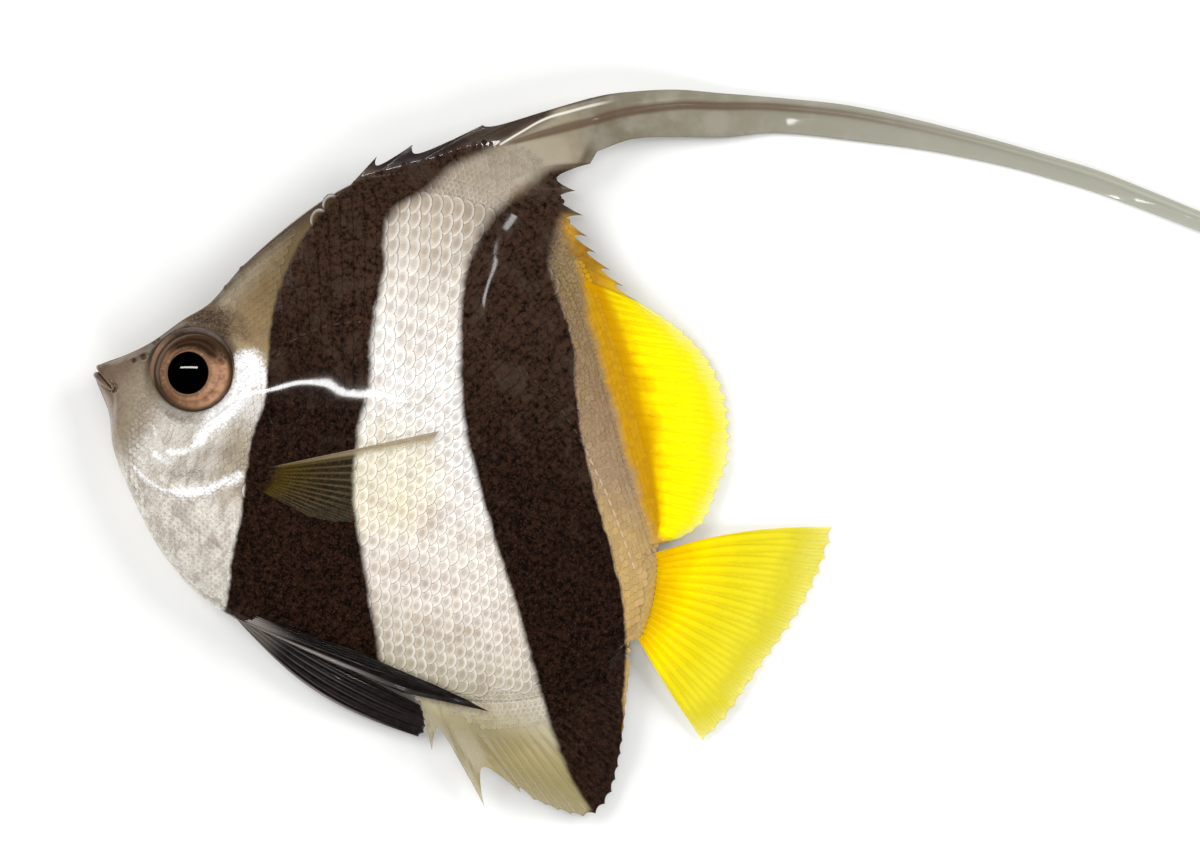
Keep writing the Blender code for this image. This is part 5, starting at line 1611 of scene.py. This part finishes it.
def pelvicFinish():
    # brown black, with a pale root and a pale first ray
    finish, paint = newFinish("pelvicFin")
    spot = planPlace(paint)[0]
    place, reach, ridge = finParts(paint)
    stain = paint.noise(spot, *pelvic["stainNoise"])
    first = paint.times(paint.step(place, 0.09, 0.02), paint.step(reach, 0.95, 0.5))
    colour = paint.layers(
        shade(*pelvic["black"]), pelvic,
        ("brown", paint.step(stain, 0.35, 0.7)),
        ("footTone", paint.step(reach, 0.3, 0.03), 0.8),
        ("leadTone", first, 0.85), ("rayTone", ridge, 0.08))
    setFinShader(paint, pelvic, spot, stain, colour)
    return finish


def makePairedFins():
    clear, black = clearFinish(), pelvicFinish()
    shares = np.linspace(0, 1, pectoral["rays"])
    low, high = pectoral["lift"]

    def overFlank(u, v, t):
        lift = (low + (high - low) * t) * ease(t / pectoral["liftStart"])
        return flankHeight(u, v, 1) + lift + 0.05

    def onFloor(u, v, t):
        return body["floorLevel"] + pectoral["footLift"] * (1 - ease(t / pectoral["footShare"]))

    for word, height in (("left", overFlank), ("right", onFloor)):
        fin = dict(pectoral)
        fin["roots"] = smoothPath(pectoral[word + "Root"])(shares).tolist()
        fin["tips"] = smoothPath(pectoral[word + "Margin"])(shares).tolist()
        fin["stout"] = [fin["leadStout"]] + [1.0] * (fin["rays"] - 1)
        makeFin("pectoral" + word.title(), fin, height, clear,
                "pectoral_fin_" + word)

    start, length = pelvic["emerge"]

    def alongBelly(u, v, t):
        over = np.maximum(flankHeight(u, v, 1), midHeight(u, v) + 0.5) + pelvic["lift"]
        return midHeight(u, v) + (over - midHeight(u, v)) * ease((u - start) / length)

    def belowBelly(u, v, t):
        drop = pelvic["drop"] + pelvic["slope"] * np.maximum(pelvic["beltV"] - v, 0.0)
        return midHeight(u, v) - drop * ease((u - start) / length)

    for word, height in (("left", alongBelly), ("right", belowBelly)):
        fin = dict(pelvic)
        fin["roots"] = [root for root, _ in pelvic[word]]
        fin["tips"] = [tip for _, tip in pelvic[word]]
        fin["stout"] = [fin["leadStout"]] + [1.0] * (len(fin["roots"]) - 1)
        if word == "right":
            fin["bows"] = [fin["bow"] * (1 - fin["bowLess"] * k) for k in range(len(fin["roots"]))]
        makeFin("pelvic" + word.title(), fin, height, black, "pelvic_fin_" + word)


makePairedFins()

# Eyes: a smooth dome whose wet coat lies over the iris's own relief, in a fold of skin
eye = {
    "centre": (9.34, 3.4), "turn": 14.0, "sink": 0.27, "radius": 4.08, "dome": 1.5, "rim": -0.2,
    "back": [(3.65, -0.95), (2.5, -1.75), (1.2, -2.1)], "deepest": -2.15,
    "segments": 96, "rings": 34,
    "pupil": 2.14, "pupilOff": (-0.14, -0.22),
    "fold": {"radius": 4.22, "thick": (0.2, 0.24), "height": -0.12, "skirt": 1.7, "spread": 0.3},
    # the iris's colours from the pupil out, and those laid over them; of these, the darker front,
    # above and below are painted shade and the pale copper on the right is a painted highlight
    "iris": [(0.46, (196, 158, 126)), (0.52, (150, 108, 80)), (0.6, (182, 140, 106)),
             (0.7, (170, 126, 94)), (0.84, (184, 140, 106)), (0.96, (140, 102, 76))],
    "front": (98, 74, 56), "fibre": (214, 172, 146), "cloud": (118, 80, 60),
    "above": (28, 19, 14), "below": (66, 46, 34), "band": (92, 62, 46), "wrinkle": (44, 30, 22),
    "rightHighlight": (222, 172, 142), "edge": (76, 55, 38), "black": (1, 1, 2),
    # the fold's colours by height, and behind the eye
    "foldTones": [(0.0, (70, 52, 40)), (0.3, (112, 88, 68)), (0.6, (124, 98, 76)),
                  (0.8, (58, 42, 33)), (0.95, (96, 86, 78))],
    "foldRear": (150, 118, 92),
}


def seatMatrix(side):
    # a frame whose Z axis points out of the cheek at the eye
    u, v = eye["centre"]
    x, y = framePlace(u, v)
    station, s = sectionAt(np.array([u]), np.array([v]))
    half = float(halfAt(station, s)[0])
    z = float(midHeight(u, v)) + side * (half - eye["sink"])
    angle = math.radians(eye["turn"])
    backward = Vector((math.cos(turn), -math.sin(turn), 0))
    upward = Vector((math.sin(turn), math.cos(turn), 0))
    out = Vector((0, 0, side * math.cos(angle))) - backward * math.sin(angle)
    across = upward.cross(out).normalized()
    matrix = Matrix((across, upward, out)).transposed().to_4x4()
    return Matrix.Translation((x, y, z)) @ matrix


def turnedPiece(name, profile, segments, seat):
    # a turned body from (radius, height) points, closed by a point at each end
    swings = [2 * math.pi * k / segments for k in range(segments)]
    points = [(0.0, 0.0, profile[0][1])]
    points += [(radius * math.cos(swing), radius * math.sin(swing), height)
               for radius, height in profile[1:-1] for swing in swings]
    points.append((0.0, 0.0, profile[-1][1]))
    placed = [tuple(seat @ Vector(p)) for p in points]
    made = meshPiece(name, placed, cappedFaces(len(profile) - 3, segments))
    setUvs(made.data, "eyeUv", [(x / 10 + 0.5, y / 10 + 0.5) for x, y, _ in points])
    return made


def eyeFinish():
    # a wrinkled iris round a black pupil, darker at its edge, with painted shade above, below and at
    # the front and a painted highlight on its right
    finish, paint = newFinish("wetEye")
    where, right, up = paint.uvParts("eyeUv")
    x, y = [paint.times(paint.less(part, 0.5), 10.0) for part in (right, up)]
    offU, offV = eye["pupilOff"]
    a, b = paint.less(x, offU), paint.less(y, offV)
    whole, inner = [paint.calc("SQRT", paint.squares(*spot)) for spot in ((x, y), (a, b))]
    angle = paint.calc("ARCTAN2", b, a)
    spin = paint.add("ShaderNodeCombineXYZ", {
        0: paint.times(paint.calc("COSINE", angle), 3.2),
        1: paint.times(paint.calc("SINE", angle), 3.2),
        2: paint.times(inner, 0.35)}).outputs[0]
    fibres, clouds = paint.noise(spin, 3.0, 4.0, 0.6), paint.noise(where, 14.0, 4.0, 0.6)

    def aslant(share):
        return paint.plus(y, paint.times(x, share))

    ringPlace = paint.plus(inner, paint.times(paint.less(clouds, 0.5), 0.35))
    rings = paint.calc("SINE", paint.times(paint.plus(whole, paint.times(clouds, 0.5)), 13.0))
    rings = paint.times(paint.step(rings, 0.3, 0.9), paint.step(aslant(-0.9), -1.6, 3.4))
    outer = paint.less(paint.plus(whole, paint.times(clouds, 0.3)), paint.times(x, 0.08))
    iris = paint.layers(
        paint.ramp(paint.calc("DIVIDE", ringPlace, 4.4), eye["iris"]), eye,
        # painted shade on the iris's front side
        ("front", paint.step(x, 2.5, -3.0), 0.45),
        ("fibre", paint.step(fibres, 0.52, 0.7), 0.4),
        ("cloud", paint.step(clouds, 0.56, 0.34), 0.36),
        # painted shadow over the iris's upper part
        ("above", paint.times(paint.step(aslant(-0.15), 1.0, 2.2), paint.step(inner, 2.2, 2.8)), 0.92),
        # painted shade on the iris's lower part
        ("below", paint.step(aslant(0.4), -2.5, -3.7), 0.55),
        ("band", paint.times(paint.step(whole, 2.8, 2.95), paint.step(whole, 3.2, 3.05)), 0.4),
        ("wrinkle", rings, 0.5),
        # painted highlight on the iris's right side
        ("rightHighlight", paint.times(paint.step(x, 1.2, 3.2), paint.step(clouds, 0.38, 0.6)), 0.45),
        ("edge", paint.step(outer, 3.45, 3.85)))
    pupil = eye["pupil"]
    pupilEdge = paint.step(inner, pupil - 0.06, pupil + 0.08)
    height = paint.plus(paint.times(fibres, 0.6),
                        paint.times(paint.step(inner, pupil + 0.3, pupil - 0.1), 1.5))
    setShader(paint, {
        "Base Color": paint.mix(pupilEdge, shade(*eye["black"]), iris),
        "Roughness": paint.scaled(fibres, 0.3, 0.5),
        "Metallic": paint.times(pupilEdge, 0.2),
        "Normal": paint.bump(paint.times(height, pupilEdge), 0.12),
        "Specular IOR Level": 0.0,
        "Coat Weight": 1.0, "Coat Roughness": 0.02,
    })
    return finish


def foldFinish():
    # the fold round the eye: brown, dark above and paler behind
    finish, paint = newFinish("eyeFold")
    spot, u, v = planPlace(paint)
    stain = paint.noise(spot, 1.6, 4.0, 0.6)
    eyeU, eyeV = eye["centre"]
    up = paint.plus(paint.less(v, eyeV), paint.times(paint.less(stain, 0.5), 2.0))
    colour = paint.ramp(paint.calc("DIVIDE", paint.plus(up, 5.0), 10.0), eye["foldTones"])
    rear = paint.times(paint.step(u, eyeU + 1.5, eyeU + 4.0), paint.step(up, 2.5, 0.5))
    setShader(paint, {
        "Base Color": paint.tint(colour, eye["foldRear"], rear),
        "Roughness": paint.scaled(stain, 0.4, 0.6), "Specular IOR Level": 0.2,
        "Normal": paint.bump(stain, 0.05),
        "Coat Weight": 0.15, "Coat Roughness": 0.3,
    })
    return finish


def makeEyes():
    finish, foldSkin = eyeFinish(), foldFinish()
    size = eye
    shares = np.linspace(0, 1, size["rings"])
    profile = [(size["radius"] * s, size["rim"] + size["dome"] * (1 - s**2) ** 0.62)
               for s in np.sin(shares * math.pi / 2).tolist()]
    profile += size["back"] + [(0, size["deepest"])]
    for side, word in ((1, "Left"), (-1, "Right")):
        seat = seatMatrix(side)
        made = turnedPiece("eye" + word, profile, size["segments"], seat)
        made.data.materials.append(finish)
        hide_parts("eye_" + word.lower())
        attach(made, "root")
        fold = size["fold"]
        wide, deep = fold["thick"]
        points, faces = [], []
        across, round_ = 14, size["segments"]
        for i in range(round_):
            swing = 2 * math.pi * i / round_
            swell = 1 + 0.3 * math.sin(swing) - 0.5 * math.cos(swing)
            outline = [(fold["radius"] + wide * swell * math.cos(math.pi * k / 9),
                        fold["height"] + deep * swell * math.sin(math.pi * k / 9)) for k in range(10)]
            inner, outer = outline[-1][0], outline[0][0]
            foot = -fold["skirt"]
            outline += [(inner, foot / 2), (inner, foot), (outer + fold["spread"], foot),
                        (outer + fold["spread"] / 3, foot / 2)]
            for reach, lift in outline:
                spot = seat @ Vector((reach * math.cos(swing), reach * math.sin(swing), lift))
                points.append(tuple(spot))
        for i in range(round_):
            for k in range(across):
                a, b = i * across + k, i * across + (k + 1) % across
                c, d = (a + across) % len(points), (b + across) % len(points)
                faces.append((a, c, d, b))
        ring = meshPiece("eyeFold" + word, points, faces)
        ring.data.materials.append(foldSkin)
        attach(ring, "root")


makeEyes()
print("eyes made")

# Floor, lights and camera
stage = {
    "floorSide": 3.0, "cameraHeight": 0.9, "viewWidth": 0.12, "centre": (50.5, -6.3),
    "floorTone": (240, 240, 238), "roomTone": (248, 249, 252), "roomLight": 0.22,
    "softLamps": [((-0.55, 0.35, 0.6), 0.5, 5.0), ((0.6, 0.25, 0.6), 0.5, 4.15),
                  ((0.1, -0.62, 0.55), 0.5, 3.05)],
    "strips": [   # place, size, power, turn in degrees, and whether only the eyes have it
        ((-0.42, 0.21, 0.66), (0.38, 0.03), 0.6, -6, True),
        ((-0.075, 0.11, 0.75), (0.38, 0.02), 0.75, -14, False),
        ((0.34, 0.3, 0.6), (0.14, 0.016), 0.08, 60, False),
    ],
}


def addLamp(name, place, size, power):
    lamp = bpy.data.lights.new(name, "AREA")
    lamp.shape = "RECTANGLE"
    lamp.size, lamp.size_y = size
    lamp.energy = power
    holder = linkedObject(name, lamp)
    holder.location = place
    return holder


def makeStage():
    side = stage["floorSide"] / 2
    floorMesh = bpy.data.meshes.new("floor")
    corners = [(-side, -side, 0), (side, -side, 0), (side, side, 0), (-side, side, 0)]
    floorMesh.from_pydata(corners, [], [(0, 1, 2, 3)])
    finish, paint = newFinish("paleFloor")
    setShader(paint, {"Base Color": shade(*stage["floorTone"]), "Roughness": 0.6})
    floorMesh.materials.append(finish)
    linkedObject("floor", floorMesh)
    camera = bpy.data.cameras.new("camera")
    camera.sensor_width = 36
    camera.lens = camera.sensor_width * stage["cameraHeight"] / stage["viewWidth"]
    holder = linkedObject("camera", camera)
    centreX, centreY = stage["centre"][0] - restX, stage["centre"][1] - restY
    height = stage["cameraHeight"] + body["midHeight"] * 0.001
    holder.location = (centreX * 0.001, centreY * 0.001, height)
    bpy.context.scene.camera = holder
    world = bpy.data.worlds.new("softRoom")
    world.use_nodes = True
    sky = world.node_tree.nodes["Background"].inputs
    sky["Color"].default_value = shade(*stage["roomTone"])
    sky["Strength"].default_value = stage["roomLight"]
    world.cycles_visibility.glossy = False
    bpy.context.scene.world = world
    bpy.context.scene.view_settings.view_transform = "Standard"
    only, without = bpy.data.collections.new("eyes"), bpy.data.collections.new("withoutEyes")
    for group in (only, without):
        for word in ("Left", "Right"):
            group.objects.link(bpy.data.objects["eye" + word])
    for member in without.collection_objects:
        member.light_linking.link_state = "EXCLUDE"
    for place, size, power in stage["softLamps"]:
        holder = addLamp("softLamp", place, (size, size), power)
        holder.visible_glossy = False
        holder.rotation_euler = (-Vector(place)).to_track_quat("-Z", "Y").to_euler()
    for place, size, power, angle, forEyes in stage["strips"]:
        holder = addLamp("strip", place, size, power)
        holder.rotation_euler = (0, 0, math.radians(angle))
        holder.light_linking.receiver_collection = only if forEyes else without


makeStage()
print("stage, lamps and camera made")
